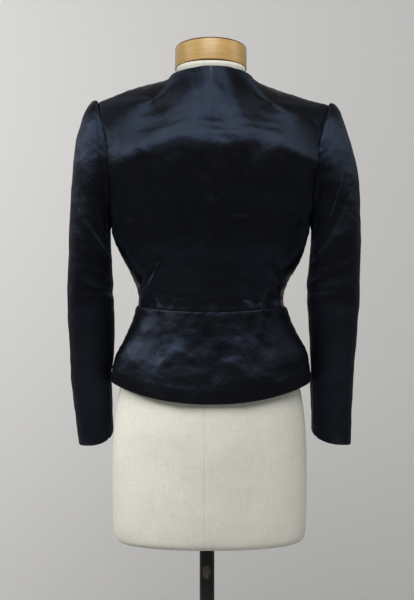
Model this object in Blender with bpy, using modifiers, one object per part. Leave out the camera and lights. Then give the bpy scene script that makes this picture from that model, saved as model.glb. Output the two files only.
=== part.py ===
"""A fitted silk jacket with a peplum, standing on a limbless dress form.

Metres, +Z up. The wearer faces -Y, so the wearer's left is +X.
The origin is the centre of the stand base's flat underside.
Each cut piece of cloth is a closed wall, lofted between rows of a short table.
"""

import math
from collections import namedtuple

import bmesh
import bpy
from mathutils import Matrix, Vector

# Cloth and seams
WALL = 0.0020
SEAM_GAP = 0.0003
AXIS_X = -0.0065

# Bodice: neck, shoulder and armhole
NECK_BACK = (0.0, 0.0620, 1.4068)
NECK_FRONT = (0.0, -0.0860, 1.3000)
NECK_SIDE = (0.0708, 0.0060, 1.3950)
SHOULDER_TIP_Y = -0.0020
SHOULDER_TIP = {"left": (0.1900, 1.3555), "right": (0.1990, 1.3515)}
SHOULDER_ARCH = {"left": 0.0058, "right": -0.0022}
NECK_FLARE = 0.0040
NECK_FLARE_FADE = 12
NECK_SHARE = 5.0 / 12.0
ARMHOLE_DEPTH = 0.0575
ARMHOLE_HOLLOW = 0.0095
BACK_BULGE = {"middle": 0.0265, "reach": 0.60}
FRONT_BULGE = {"middle": 0.0085, "reach": 0.75}
YOKE_SOFTNESS = 0.40
NECK_BLEND = 0.16

# Bust shaping and the front lap
BUST_X = 0.0860
BUST_Z = 1.1880
BUST_RISE = 0.0170
BUST_WIDTH = 0.0460
BUST_HEIGHT = 0.0560
LAP = 0.0150
LAP_LIFT = 0.0027
LAP_START = 0.0220
LAP_END = 0.0550

# Sleeves: seams are counted in steps round the armhole, from the outer edge through the back
ARMHOLE_STEPS = 11
HIND_SEAM_STEP = 9
FORE_SEAM_STEP = 14
SLEEVE_SET_OUT = 0.0003
CUFF_SLANT = 0.0240
CUFF_SLANT_TURN = math.radians(45.0)

# Dress form and stand
NECK_LEAN = math.radians(7.2)
NECK_CENTRE_Y = -0.0080
BLOCK_RADIUS = 0.0612
BLOCK_HEIGHT = 0.0400
BLOCK_EDGE = 0.0035
BLOCK_BASE_Z = 1.4103
POLE_RADIUS = 0.0126
BASE_RADIUS = 0.1950
BASE_RIM = 0.0080
BASE_CROWN = 0.0150
HUB_RADIUS = 0.0300
HUB_TOP = 0.0420
SEAT_GAP = 0.0003

# Buttons
BUTTON_RADIUS = 0.0085
BUTTON_HEIGHT = 0.0052
BUTTON_SHANK = 0.0007
BUTTON_HEIGHTS = (1.2720, 1.2090, 1.1460, 1.0830, 1.0220)

Hoop = namedtuple("Hoop", "side_z back_z front_z half_width back front")
BODICE_HOOPS = [
    Hoop(1.0105, 1.0000, 1.0080, 0.1208, 0.0780, 0.0970),
    Hoop(1.0250, 1.0200, 1.0240, 0.1212, 0.0785, 0.0972),
    Hoop(1.0540, 1.0510, 1.0530, 0.1312, 0.0825, 0.1000),
    Hoop(1.0810, 1.0790, 1.0800, 0.1450, 0.0865, 0.1050),
    Hoop(1.1080, 1.1080, 1.1080, 0.1590, 0.0928, 0.1135),
    Hoop(1.1300, 1.1340, 1.1350, 0.1665, 0.0965, 0.1180),
    Hoop(1.1480, 1.1600, 1.1620, 0.1690, 0.0985, 0.1200),
]
PEPLUM_HOOPS = [
    Hoop(1.0102, 0.9997, 1.0077, 0.1220, 0.0790, 0.0980),
    Hoop(1.0060, 0.9950, 1.0030, 0.1266, 0.0797, 0.0995),
    Hoop(0.9860, 0.9720, 0.9800, 0.1340, 0.0826, 0.1035),
    Hoop(0.9590, 0.9430, 0.9510, 0.1470, 0.0872, 0.1100),
    Hoop(0.9320, 0.9130, 0.9220, 0.1605, 0.0930, 0.1170),
    Hoop(0.9040, 0.8820, 0.8920, 0.1670, 0.0985, 0.1215),
    Hoop(0.8815, 0.8510, 0.8670, 0.1680, 0.1020, 0.1230),
]

# Where one side of the body is fuller than the hoops say, or slimmer
Fullness = namedtuple("Fullness", "z reach amount")
SIDE_FULLNESS = {
    "left": [Fullness(0.9500, 0.0300, -0.0030)],
    "right": [
        Fullness(1.0800, 0.0260, 0.0050),
        Fullness(1.0080, 0.0220, 0.0028),
        Fullness(0.9450, 0.0300, 0.0024),
    ],
}

# Folds big enough to shape the cloth: a soft ridge or trough from one end to the other
Fold = namedtuple("Fold", "x0 z0 x1 z1 width depth")
BACK_FOLDS = [
    Fold(0.0900, 1.0750, 0.1130, 1.0280, 0.0090, 0.0035),
    Fold(0.0980, 1.0700, 0.1250, 1.0400, 0.0080, -0.0025),
    Fold(-0.1020, 1.0720, -0.1190, 1.0450, 0.0090, 0.0030),
    Fold(-0.1120, 1.0760, -0.1290, 1.0560, 0.0080, -0.0022),
    Fold(0.0250, 1.1700, -0.0150, 1.2250, 0.0140, 0.0018),
]
FRONT_FOLDS = [
    Fold(0.0850, 1.0700, 0.1120, 1.0300, 0.0090, 0.0028),
    Fold(-0.0880, 1.0660, -0.1160, 1.0300, 0.0090, 0.0030),
]
PEPLUM_FOLDS = [
    Fold(0.0860, 0.9900, 0.0880, 0.9300, 0.0100, -0.0030),
    Fold(-0.0960, 0.9920, -0.0980, 0.9400, 0.0100, -0.0030),
    Fold(0.0600, 0.9300, 0.0500, 0.8560, 0.0160, 0.0028),
    Fold(-0.0500, 0.9400, -0.0560, 0.8600, 0.0180, 0.0024),
]

# Creases of the sleeves: a place along the rings and an angle round them
Crease = namedtuple("Crease", "place angle spread width depth")
SLEEVE_CREASES = {
    "left": [
        Crease(9.5, 150.0, 60.0, 0.35, -0.0024),
        Crease(9.0, 140.0, 60.0, 0.40, 0.0014),
        Crease(10.0, 130.0, 60.0, 0.40, 0.0014),
        Crease(7.0, 120.0, 40.0, 0.35, 0.0024),
        Crease(12.5, 230.0, 60.0, 0.45, -0.0020),
    ],
    "right": [
        Crease(9.5, 120.0, 60.0, 0.35, -0.0026),
        Crease(10.0, 110.0, 60.0, 0.40, 0.0018),
        Crease(9.0, 120.0, 60.0, 0.40, 0.0014),
        Crease(7.5, 100.0, 45.0, 0.45, 0.0026),
        Crease(12.5, 230.0, 60.0, 0.45, -0.0020),
    ],
}

Ring = namedtuple("Ring", "outer_x outer_z inner_x inner_z centre_y half_depth")
SLEEVE_RINGS = {
    "left": [
        Ring(0.1900, 1.3555, 0.1690, 1.1480, -0.0010, 0.0575),
        Ring(0.1945, 1.3585, 0.1702, 1.1410, -0.0010, 0.0600),
        Ring(0.2020, 1.3560, 0.1708, 1.1350, -0.0005, 0.0615),
        Ring(0.2105, 1.3440, 0.1706, 1.1290, 0.0000, 0.0620),
        Ring(0.2175, 1.3250, 0.1702, 1.1230, 0.0010, 0.0620),
        Ring(0.2285, 1.2850, 0.1696, 1.1140, 0.0020, 0.0615),
        Ring(0.2330, 1.2400, 0.1688, 1.1020, 0.0030, 0.0600),
        Ring(0.2370, 1.1850, 0.1682, 1.0870, 0.0040, 0.0585),
        Ring(0.2395, 1.1280, 0.1675, 1.0690, 0.0050, 0.0565),
        Ring(0.2412, 1.0720, 0.1662, 1.0460, 0.0050, 0.0545),
        Ring(0.2425, 1.0200, 0.1645, 1.0190, 0.0020, 0.0520),
        Ring(0.2418, 0.9700, 0.1635, 0.9830, -0.0060, 0.0495),
        Ring(0.2405, 0.9180, 0.1650, 0.9310, -0.0170, 0.0460),
        Ring(0.2388, 0.8690, 0.1700, 0.8790, -0.0290, 0.0425),
        Ring(0.2343, 0.8190, 0.1700, 0.8260, -0.0400, 0.0395),
        Ring(0.2280, 0.7690, 0.1700, 0.7725, -0.0490, 0.0370),
    ],
    "right": [
        Ring(0.1990, 1.3515, 0.1690, 1.1480, -0.0010, 0.0575),
        Ring(0.2030, 1.3540, 0.1702, 1.1410, -0.0010, 0.0600),
        Ring(0.2100, 1.3510, 0.1708, 1.1350, -0.0005, 0.0615),
        Ring(0.2180, 1.3400, 0.1706, 1.1290, 0.0000, 0.0620),
        Ring(0.2250, 1.3220, 0.1702, 1.1230, 0.0010, 0.0620),
        Ring(0.2375, 1.2850, 0.1696, 1.1140, 0.0020, 0.0615),
        Ring(0.2480, 1.2400, 0.1680, 1.1020, 0.0030, 0.0600),
        Ring(0.2528, 1.1850, 0.1665, 1.0870, 0.0040, 0.0585),
        Ring(0.2540, 1.1280, 0.1650, 1.0690, 0.0050, 0.0565),
        Ring(0.2524, 1.0720, 0.1628, 1.0460, 0.0050, 0.0545),
        Ring(0.2512, 1.0200, 0.1635, 1.0190, 0.0020, 0.0520),
        Ring(0.2492, 0.9700, 0.1665, 0.9820, -0.0060, 0.0495),
        Ring(0.2462, 0.9190, 0.1698, 0.9320, -0.0170, 0.0460),
        Ring(0.2450, 0.8700, 0.1705, 0.8805, -0.0290, 0.0425),
        Ring(0.2438, 0.8200, 0.1725, 0.8290, -0.0400, 0.0395),
        Ring(0.2426, 0.7695, 0.1750, 0.7760, -0.0490, 0.0370),
    ],
}

Slice = namedtuple("Slice", "z half_width back front lean sway")
FORM_SLICES = [
    Slice(0.6110, 0.1500, 0.0860, 0.0900, 0.0, 0.0022),
    Slice(0.6145, 0.1590, 0.0935, 0.0975, 0.0, 0.0022),
    Slice(0.6230, 0.1632, 0.0965, 0.1010, 0.0, 0.0022),
    Slice(0.6500, 0.1652, 0.0980, 0.1030, 0.0, 0.0022),
    Slice(0.7100, 0.1660, 0.0985, 0.1050, 0.0, 0.0022),
    Slice(0.7800, 0.1656, 0.0980, 0.1060, 0.0, 0.0020),
    Slice(0.8450, 0.1600, 0.0940, 0.1040, 0.0, 0.0015),
    Slice(0.9000, 0.1470, 0.0865, 0.0980, 0.0, 0.0010),
    Slice(0.9500, 0.1290, 0.0785, 0.0910, 0.0, 0.0),
    Slice(1.0000, 0.1161, 0.0742, 0.0917, 0.0, 0.0),
    Slice(1.0500, 0.1212, 0.0765, 0.0940, 0.0, 0.0),
    Slice(1.1000, 0.1390, 0.0820, 0.1000, 0.0, 0.0),
    Slice(1.1500, 0.1530, 0.0890, 0.1090, 0.0, 0.0),
    Slice(1.2000, 0.1560, 0.0930, 0.1100, 0.0, 0.0),
    Slice(1.2500, 0.1560, 0.0920, 0.0970, 0.0, 0.0),
    Slice(1.3000, 0.1530, 0.0820, 0.0770, 0.0, 0.0),
    Slice(1.3300, 0.1380, 0.0660, 0.0560, 0.0, 0.0),
    Slice(1.3480, 0.1000, 0.0510, 0.0370, 0.0, 0.0),
    Slice(1.3620, 0.0660, 0.0470, 0.0330, 0.1, 0.0),
    Slice(1.3760, 0.0600, 0.0470, 0.0400, 0.4, 0.0),
    Slice(1.3900, 0.0590, 0.0490, 0.0530, 0.8, 0.0),
    Slice(1.4100, 0.0590, 0.0510, 0.0670, 1.0, 0.0),
]

# Grid counts, rows along a piece and columns across it
BODICE_LOWER_ROWS = 9
BODICE_COLUMNS = 12
PEPLUM_ROWS = 8
PEPLUM_HALF_COLUMNS = 12
SLEEVE_RING_STEPS = 30
FORM_COLUMNS = 32
HOOP_SQUARE = 2.15


def clear_scene():
    for thing in list(bpy.data.objects):
        bpy.data.objects.remove(thing, do_unlink=True)


def make_material(name, colour, roughness, metallic=0.0):
    material = bpy.data.materials.new(name)
    material.use_nodes = True
    shader = material.node_tree.nodes["Principled BSDF"]
    shader.inputs["Base Color"].default_value = (*colour, 1.0)
    shader.inputs["Roughness"].default_value = roughness
    shader.inputs["Metallic"].default_value = metallic
    return material


def mix(a, b, share):
    return a + (b - a) * share


def ease(low, high, value):
    """Smooth 0 to 1 as value goes from low to high."""
    share = min(1.0, max(0.0, (value - low) / (high - low)))
    return share * share * (3.0 - 2.0 * share)


def along_rows(rows, place):
    """A row at a fractional place in a table, smooth through every row."""
    last = len(rows) - 1
    index = min(int(place), last - 1)
    t = place - index
    before = rows[max(index - 1, 0)]
    here = rows[index]
    there = rows[index + 1]
    after = rows[min(index + 2, last)]
    values = []
    for p0, p1, p2, p3 in zip(before, here, there, after):
        m1 = (p2 - p0) / 2.0
        m2 = (p3 - p1) / 2.0
        values.append(
            (2 * t ** 3 - 3 * t ** 2 + 1) * p1 + (t ** 3 - 2 * t ** 2 + t) * m1
            + (-2 * t ** 3 + 3 * t ** 2) * p2 + (t ** 3 - t ** 2) * m2
        )
    return type(here)(*values)


def bent(value):
    """A sine or cosine pushed out a little, so that a hoop is fuller than an ellipse."""
    return math.copysign(abs(value) ** (2.0 / HOOP_SQUARE), value)


def bust_rise(x, z):
    across = math.exp(-(((abs(x) - BUST_X) / BUST_WIDTH) ** 2))
    upward = math.exp(-(((z - BUST_Z) / BUST_HEIGHT) ** 2))
    return BUST_RISE * across * upward


def hoop_point(hoops, place, share, facing, side):
    """A point on a hoop: share 0 at centre back or centre front, 1 at the side seam."""
    hoop = along_rows(hoops, place)
    angle = share * math.pi / 2.0
    across = bent(math.sin(angle))
    deep = bent(math.cos(angle))
    middle_z = hoop.back_z if facing == "back" else hoop.front_z
    z = mix(hoop.side_z, middle_z, math.cos(angle) ** 2)
    x = (hoop.half_width + fullness(side, z)) * across
    if facing == "back":
        return Vector((x, hoop.back * deep, z))
    return Vector((x, -hoop.front * deep - bust_rise(x, z), z))


def fullness(side, z):
    return sum(row.amount * math.exp(-(((z - row.z) / row.reach) ** 2)) for row in SIDE_FULLNESS[side])


def top_edge(share, facing, side):
    """The neckline up to NECK_SHARE, then the shoulder seam out to its tip."""
    neck_x, neck_y, neck_z = NECK_SIDE
    if share > NECK_SHARE:
        run = (share - NECK_SHARE) / (1.0 - NECK_SHARE)
        tip_x, tip_z = SHOULDER_TIP[side]
        x = mix(neck_x, tip_x, run)
        y = mix(neck_y, SHOULDER_TIP_Y, run)
        z = mix(neck_z - NECK_FLARE, tip_z, run) + SHOULDER_ARCH[side] * math.sin(math.pi * run)
        z += NECK_FLARE * (1.0 - run) ** NECK_FLARE_FADE
        return Vector((x, y, z))
    if facing == "back":
        angle = share / NECK_SHARE * math.pi / 2.0
        x = neck_x * math.sin(angle)
        y = mix(neck_y, NECK_BACK[1], math.cos(angle))
        z = mix(neck_z, NECK_BACK[2], math.cos(angle) ** 1.5)
        return Vector((x, y, z))
    run = share / NECK_SHARE
    x = neck_x * run
    y = mix(NECK_FRONT[1], neck_y, run ** 2)
    z = mix(NECK_FRONT[2], neck_z, run ** 1.7)
    return Vector((x, y, z))


def softened_edge(share, facing, side, reach):
    """The top edge averaged along its length, so that the neck's corner doesn't crease the cloth."""
    point = Vector((0.0, 0.0, 0.0))
    for step, weight in ((-1.0, 1.0), (-0.5, 2.0), (0.0, 3.0), (0.5, 2.0), (1.0, 1.0)):
        point += top_edge(abs(share + step * reach), facing, side) * (weight / 9.0)
    return point


def yoke_point(turn, share, facing, side):
    """The bodice above the underarm: turn 0 there, pi at the neckline and shoulder seam."""
    rise = (1.0 - math.cos(turn)) / 2.0
    low = hoop_point(BODICE_HOOPS, len(BODICE_HOOPS) - 1, share, facing, side)
    reach = NECK_BLEND * 4.0 * share * (1.0 - share) * (1.0 - ease(0.80, 1.0, rise))
    high = softened_edge(share, facing, side, reach)
    point = low.lerp(high, rise)
    round_arc = math.sin(turn)
    soft_arc = mix(round_arc ** 2, round_arc ** 4, YOKE_SOFTNESS)
    if turn < math.pi / 2.0:
        roundness = ease(0.70, 1.0, share)
    else:
        roundness = ease(0.0, NECK_SHARE, share)
    arc = mix(soft_arc, round_arc, roundness)
    bulge = BACK_BULGE if facing == "back" else FRONT_BULGE
    sign = 1.0 if facing == "back" else -1.0
    spread = ease(0.0, bulge["reach"], share)
    point.y += sign * mix(bulge["middle"], ARMHOLE_DEPTH, spread) * arc
    point.x -= ARMHOLE_HOLLOW * round_arc ** 3 * share ** 4
    return point


def bodice_point(row, share, facing, side):
    """Row counts up from the waist seam, through the underarm, to the top edge.

    A negative share runs past the centre front: the mirror image of the cloth beside it.
    """
    place = min(row / BODICE_LOWER_ROWS, 1.0) * (len(BODICE_HOOPS) - 1)
    if row <= BODICE_LOWER_ROWS:
        point = hoop_point(BODICE_HOOPS, place, abs(share), facing, side)
    else:
        turn = (row - BODICE_LOWER_ROWS) / ARMHOLE_STEPS * math.pi
        point = yoke_point(turn, abs(share), facing, side)
    if share < 0.0:
        point.x = -point.x
    return point


def peplum_point(row, share, facing, side):
    """Row counts down from the waist seam to the hem."""
    place = row / PEPLUM_ROWS * (len(PEPLUM_HOOPS) - 1)
    point = hoop_point(PEPLUM_HOOPS, place, abs(share), facing, side)
    if share < 0.0:
        point.x = -point.x
    return point


def lap_share(half_width):
    """The share at which a hoop of this half width has run LAP past the centre front."""
    return -math.asin((LAP / half_width) ** (HOOP_SQUARE / 2.0)) * 2.0 / math.pi


def bodice_start(row, facing):
    """Where a row begins: on the centre-back seam, or past the centre front by the lap."""
    if facing == "back":
        return 0.0
    place = min(row / BODICE_LOWER_ROWS, 1.0) * (len(BODICE_HOOPS) - 1)
    low = lap_share(along_rows(BODICE_HOOPS, place).half_width)
    high = -LAP * NECK_SHARE / NECK_SIDE[0]
    turn = max(0.0, row - BODICE_LOWER_ROWS) / ARMHOLE_STEPS * math.pi
    return mix(low, high, (1.0 - math.cos(turn)) / 2.0)


def peplum_start(row, facing):
    if facing == "back":
        return 0.0
    place = row / PEPLUM_ROWS * (len(PEPLUM_HOOPS) - 1)
    return lap_share(along_rows(PEPLUM_HOOPS, place).half_width)


def lap_lift(x, facing, side):
    """How far the right front stands out where it laps over the left."""
    if facing == "back" or side == "left":
        return 0.0
    return LAP_LIFT * (1.0 - ease(LAP_START, LAP_END, x))


def fold_height(folds, x, z):
    """The summed height of the folds at a point, each fading out at its two ends."""
    height = 0.0
    for fold in folds:
        run_x = fold.x1 - fold.x0
        run_z = fold.z1 - fold.z0
        length = math.hypot(run_x, run_z)
        along = ((x - fold.x0) * run_x + (z - fold.z0) * run_z) / length
        across = ((x - fold.x0) * run_z - (z - fold.z0) * run_x) / length
        beyond = max(-along, along - length, 0.0)
        height += fold.depth * math.exp(-((across / fold.width) ** 2) - (beyond / fold.width) ** 2)
    return height


def to_world(point, side):
    """Mirror the wearer's right side, and shift the whole onto the form's axis."""
    sign = 1.0 if side == "left" else -1.0
    return Vector((sign * point.x + AXIS_X, point.y, point.z))


def grid_normals(grid):
    """One direction a point, away from the form's axis, from its neighbours in the grid."""
    normals = []
    for i, row in enumerate(grid):
        line = []
        for j, point in enumerate(row):
            up = grid[min(i + 1, len(grid) - 1)][j] - grid[max(i - 1, 0)][j]
            across = row[min(j + 1, len(row) - 1)] - row[max(j - 1, 0)]
            line.append(across.cross(up).normalized())
        normals.append(line)
    i = len(grid) // 2
    j = len(grid[0]) // 3
    away = Vector((grid[i][j].x - AXIS_X, grid[i][j].y, 0.0))
    if normals[i][j].dot(away) < 0.0:
        normals = [[-normal for normal in line] for line in normals]
    return normals


def square_to_seam(normals, cells, seam_direction):
    """Turn the wall square to a seam, so that both neighbours end on parallel faces."""
    for i, j in cells:
        normal = normals[i][j]
        normal = normal - seam_direction * normal.dot(seam_direction)
        normals[i][j] = normal.normalized()


def raise_cloth(grid, normals, heights):
    """Move each point along its direction, for a fold or for the lap."""
    for line, directions, lifts in zip(grid, normals, heights):
        for point, direction, lift in zip(line, directions, lifts):
            point += direction * lift


def build_object(name, vertices, faces, material, collection):
    mesh = bpy.data.meshes.new(name)
    mesh.from_pydata([tuple(v) for v in vertices], [], faces)
    mesh.materials.append(material)
    bm = bmesh.new()
    bm.from_mesh(mesh)
    bmesh.ops.recalc_face_normals(bm, faces=bm.faces)
    bm.to_mesh(mesh)
    bm.free()
    mesh.shade_smooth()
    piece = bpy.data.objects.new(name, mesh)
    collection.objects.link(piece)
    return piece


def cloth_wall(name, grid, normals, material, collection):
    """Close an open grid into a wall: outer skin, inner skin and the cut edges."""
    rows = len(grid)
    columns = len(grid[0])
    outer = [point for row in grid for point in row]
    inner = []
    for row, directions in zip(grid, normals):
        inner += [point - direction * WALL for point, direction in zip(row, directions)]
    back = rows * columns
    faces = []
    for i in range(rows - 1):
        for j in range(columns - 1):
            a = i * columns + j
            b = a + 1
            c = b + columns
            d = a + columns
            faces.append((a, b, c, d))
            faces.append((back + d, back + c, back + b, back + a))
    bottom = list(range(columns))
    right = [i * columns + columns - 1 for i in range(rows)]
    top = [(rows - 1) * columns + j for j in reversed(range(columns))]
    left = [i * columns for i in reversed(range(rows))]
    rim = bottom + right[1:] + top[1:] + left[1:-1]
    for a, b in zip(rim, rim[1:] + rim[:1]):
        faces.append((b, a, back + a, back + b))
    return build_object(name, outer + inner, faces, material, collection)


def bodice_row(row, facing, side):
    """One row of a bodice piece, from the middle to the side seam or the armhole."""
    start = bodice_start(row, facing)
    sign = 1.0 if facing == "back" else -1.0
    line = []
    lifts = []
    folds = BACK_FOLDS if facing == "back" else FRONT_FOLDS
    for j in range(BODICE_COLUMNS + 1):
        share = mix(start, 1.0, j / BODICE_COLUMNS)
        point = bodice_point(row, share, facing, side)
        if facing == "back" and j == 0:
            point.x = SEAM_GAP / 2.0
        on_side_seam = row <= BODICE_LOWER_ROWS and j == BODICE_COLUMNS
        on_shoulder = row == BODICE_LOWER_ROWS + ARMHOLE_STEPS and share >= NECK_SHARE
        if on_side_seam or on_shoulder:
            point.y += sign * SEAM_GAP / 2.0
        signed_x = point.x if side == "left" else -point.x
        lifts.append(fold_height(folds, signed_x, point.z) + lap_lift(point.x, facing, side))
        line.append(to_world(point, side))
    return line, lifts


def make_bodice_piece(name, facing, side, material, collection):
    last = BODICE_LOWER_ROWS + ARMHOLE_STEPS
    edge = BODICE_COLUMNS
    rows = [bodice_row(i, facing, side) for i in range(last + 1)]
    grid = [line for line, lifts in rows]
    normals = grid_normals(grid)
    if facing == "back":
        square_to_seam(normals, [(i, 0) for i in range(last + 1)], Vector((1, 0, 0)))
    side_seam = [(i, edge) for i in range(BODICE_LOWER_ROWS + 1)]
    square_to_seam(normals, side_seam, Vector((0, 1, 0)))
    start = bodice_start(last, facing)
    neck_columns = math.ceil((NECK_SHARE - start) / (1.0 - start) * edge)
    shoulder = [(last, j) for j in range(neck_columns, edge + 1)]
    square_to_seam(normals, shoulder, Vector((0, 1, 0)))
    square_to_seam(normals, [(0, j) for j in range(edge + 1)], Vector((0, 0, 1)))
    raise_cloth(grid, normals, [lifts for line, lifts in rows])
    return cloth_wall(name, grid, normals, material, collection)


def peplum_row(row, facing, side):
    start = peplum_start(row, facing)
    line = []
    lifts = []
    for j in range(PEPLUM_HALF_COLUMNS + 1):
        share = mix(start, 1.0, j / PEPLUM_HALF_COLUMNS)
        point = peplum_point(row, share, facing, side)
        signed_x = point.x if side == "left" else -point.x
        lifts.append(fold_height(PEPLUM_FOLDS, signed_x, point.z) + lap_lift(point.x, facing, side))
        if j == PEPLUM_HALF_COLUMNS:
            point.y += SEAM_GAP / 2.0 * (1.0 if facing == "back" else -1.0)
        line.append(to_world(point, side))
    return line, lifts


def make_peplum_piece(name, facing, side, material, collection):
    """A front peplum on one side, or the whole back peplum from side seam to side seam."""
    grid = []
    heights = []
    for i in range(PEPLUM_ROWS + 1):
        line, lifts = peplum_row(i, facing, side)
        if facing == "back":
            left_line, left_lifts = peplum_row(i, facing, "left")
            line = list(reversed(left_line)) + line[1:]
            lifts = list(reversed(left_lifts)) + lifts[1:]
        grid.append(line)
        heights.append(lifts)
    normals = grid_normals(grid)
    last = len(grid[0]) - 1
    seams = (0, last) if facing == "back" else (last,)
    for column in seams:
        cells = [(i, column) for i in range(PEPLUM_ROWS + 1)]
        square_to_seam(normals, cells, Vector((0, 1, 0)))
    square_to_seam(normals, [(0, j) for j in range(last + 1)], Vector((0, 0, 1)))
    raise_cloth(grid, normals, heights)
    return cloth_wall(name, grid, normals, material, collection)


def sleeve_point(side, place, angle):
    """Angle 0 is the outer edge, a quarter turn is the back, a half turn the underarm."""
    rings = SLEEVE_RINGS[side]
    ring = along_rows(rings, place)
    outer = Vector((ring.outer_x, ring.centre_y, ring.outer_z))
    inner = Vector((ring.inner_x, ring.centre_y, ring.inner_z))
    middle = (outer + inner) / 2.0
    reach = (outer - inner) / 2.0
    point = middle + reach * math.cos(angle)
    point.y += ring.half_depth * math.sin(angle)
    hollow = ARMHOLE_HOLLOW * max(0.0, 1.0 - place) ** 2
    point.x += SLEEVE_SET_OUT - hollow * abs(math.sin(angle)) ** 3
    cuff = ease(len(rings) - 4.0, len(rings) - 1.0, place)
    point.z += CUFF_SLANT * cuff * ((1.0 - math.cos(angle - CUFF_SLANT_TURN)) / 2.0) ** 2
    return point


def sleeve_directions(side, place, angle):
    """Down the sleeve, and out of the tube: both pieces share them at a seam."""
    step = 0.02
    low = max(place - step, 0.0)
    high = min(place + step, len(SLEEVE_RINGS[side]) - 1)
    down = sleeve_point(side, high, angle) - sleeve_point(side, low, angle)
    around = sleeve_point(side, place, angle + step) - sleeve_point(side, place, angle - step)
    return down.normalized(), down.cross(around).normalized()


def crease_height(side, place, angle):
    height = 0.0
    for crease in SLEEVE_CREASES[side]:
        turn = (math.degrees(angle) - crease.angle + 180.0) % 360.0 - 180.0
        near = math.exp(-((turn / crease.spread) ** 2))
        height += crease.depth * near * math.exp(-(((place - crease.place) / crease.width) ** 2))
    return height


def make_sleeve_piece(name, side, first_step, last_step, material, collection):
    """A strip of the sleeve between two seams, from the armhole to the cuff."""
    last = len(SLEEVE_RINGS[side]) - 1
    columns = last_step - first_step
    start = math.pi * first_step / ARMHOLE_STEPS
    stop = math.pi * last_step / ARMHOLE_STEPS
    sign = 1.0 if side == "left" else -1.0
    grid = []
    normals = []
    for i in range(SLEEVE_RING_STEPS + 1):
        place = last * i / SLEEVE_RING_STEPS
        line = []
        directions = []
        for j in range(columns + 1):
            angle = mix(start, stop, j / columns)
            point = sleeve_point(side, place, angle)
            down, normal = sleeve_directions(side, place, angle)
            if j in (0, columns):
                point += normal.cross(down) * SEAM_GAP / 2.0 * (1.0 if j == 0 else -1.0)
            point += normal * crease_height(side, place, angle)
            line.append(to_world(point, side))
            directions.append(Vector((sign * normal.x, normal.y, normal.z)))
        grid.append(line)
        normals.append(directions)
    return cloth_wall(name, grid, normals, material, collection)


def make_form_torso(name, material, collection):
    """A stack of full hoops, closed by a flat floor and a flat neck."""
    vertices = []
    for piece in FORM_SLICES:
        for j in range(FORM_COLUMNS):
            angle = 2.0 * math.pi * j / FORM_COLUMNS
            depth = piece.back if math.sin(angle) > 0.0 else piece.front
            x = piece.half_width * bent(math.cos(angle))
            y = depth * bent(math.sin(angle))
            z = piece.z + piece.lean * math.tan(NECK_LEAN) * (y - NECK_CENTRE_Y)
            vertices.append(Vector((x + AXIS_X + piece.sway, y, z)))
    faces = []
    for i in range(len(FORM_SLICES) - 1):
        for j in range(FORM_COLUMNS):
            k = (j + 1) % FORM_COLUMNS
            low = i * FORM_COLUMNS
            high = low + FORM_COLUMNS
            faces.append((low + j, low + k, high + k, high + j))
    faces.append(tuple(reversed(range(FORM_COLUMNS))))
    top = (len(FORM_SLICES) - 1) * FORM_COLUMNS
    faces.append(tuple(range(top, top + FORM_COLUMNS)))
    return build_object(name, vertices, faces, material, collection)


def make_turned(name, profile, steps, material, collection):
    """A turned shape: a profile of (radius, height) from top to bottom, spun about Z."""
    mesh = bpy.data.meshes.new(name)
    points = [(radius, 0.0, height) for radius, height in profile]
    edges = [(i, i + 1) for i in range(len(points) - 1)]
    mesh.from_pydata(points, edges, [])
    mesh.materials.append(material)
    piece = bpy.data.objects.new(name, mesh)
    collection.objects.link(piece)
    screw = piece.modifiers.new("turned", "SCREW")
    screw.steps = steps
    screw.render_steps = steps
    screw.use_merge_vertices = True
    screw.merge_threshold = 0.00001
    screw.use_smooth_shade = True
    return piece


def rounded_edge(radius, edge, centre_z, start, stop, steps):
    """Points of a quarter-round edge on a turned profile."""
    points = []
    for k in range(steps + 1):
        angle = math.radians(mix(start, stop, k / steps))
        points.append((radius - edge + edge * math.cos(angle), centre_z + edge * math.sin(angle)))
    return points


def make_neck_block(name, material, collection):
    top = rounded_edge(BLOCK_RADIUS, BLOCK_EDGE, BLOCK_HEIGHT - BLOCK_EDGE, 90, 0, 3)
    bottom = rounded_edge(BLOCK_RADIUS, BLOCK_EDGE, BLOCK_EDGE, 0, -90, 3)
    profile = [(0.0, BLOCK_HEIGHT)] + top + bottom + [(0.0, 0.0)]
    piece = make_turned(name, profile, 28, material, collection)
    piece.location = (AXIS_X, NECK_CENTRE_Y, BLOCK_BASE_Z + SEAT_GAP)
    piece.rotation_euler = (NECK_LEAN, 0.0, 0.0)
    return piece


def make_stand(collection, pole_material, base_material):
    crown = [(0.0, HUB_TOP), (HUB_RADIUS - 0.004, HUB_TOP), (HUB_RADIUS, HUB_TOP - 0.004)]
    slope = [(HUB_RADIUS + 0.004, BASE_CROWN + 0.006), (HUB_RADIUS + 0.014, BASE_CROWN)]
    rim = [(BASE_RADIUS - 0.006, BASE_RIM), (BASE_RADIUS, BASE_RIM - 0.004), (BASE_RADIUS, 0.0)]
    make_turned("stand_base", crown + slope + rim + [(0.0, 0.0)], 40, base_material, collection)
    foot = HUB_TOP + SEAT_GAP
    head = FORM_SLICES[0].z - SEAT_GAP
    bpy.ops.mesh.primitive_cylinder_add(
        vertices=24, radius=POLE_RADIUS, depth=head - foot, location=(0.0, 0.0, (foot + head) / 2.0)
    )
    pole = bpy.context.object
    pole.name = "stand_pole"
    pole.data.name = "stand_pole"
    pole.data.materials.append(pole_material)
    for owner in list(pole.users_collection):
        owner.objects.unlink(pole)
    collection.objects.link(pole)
    pole.data.shade_smooth()
    pole.data.set_sharp_from_angle(angle=math.radians(40.0))


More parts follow.
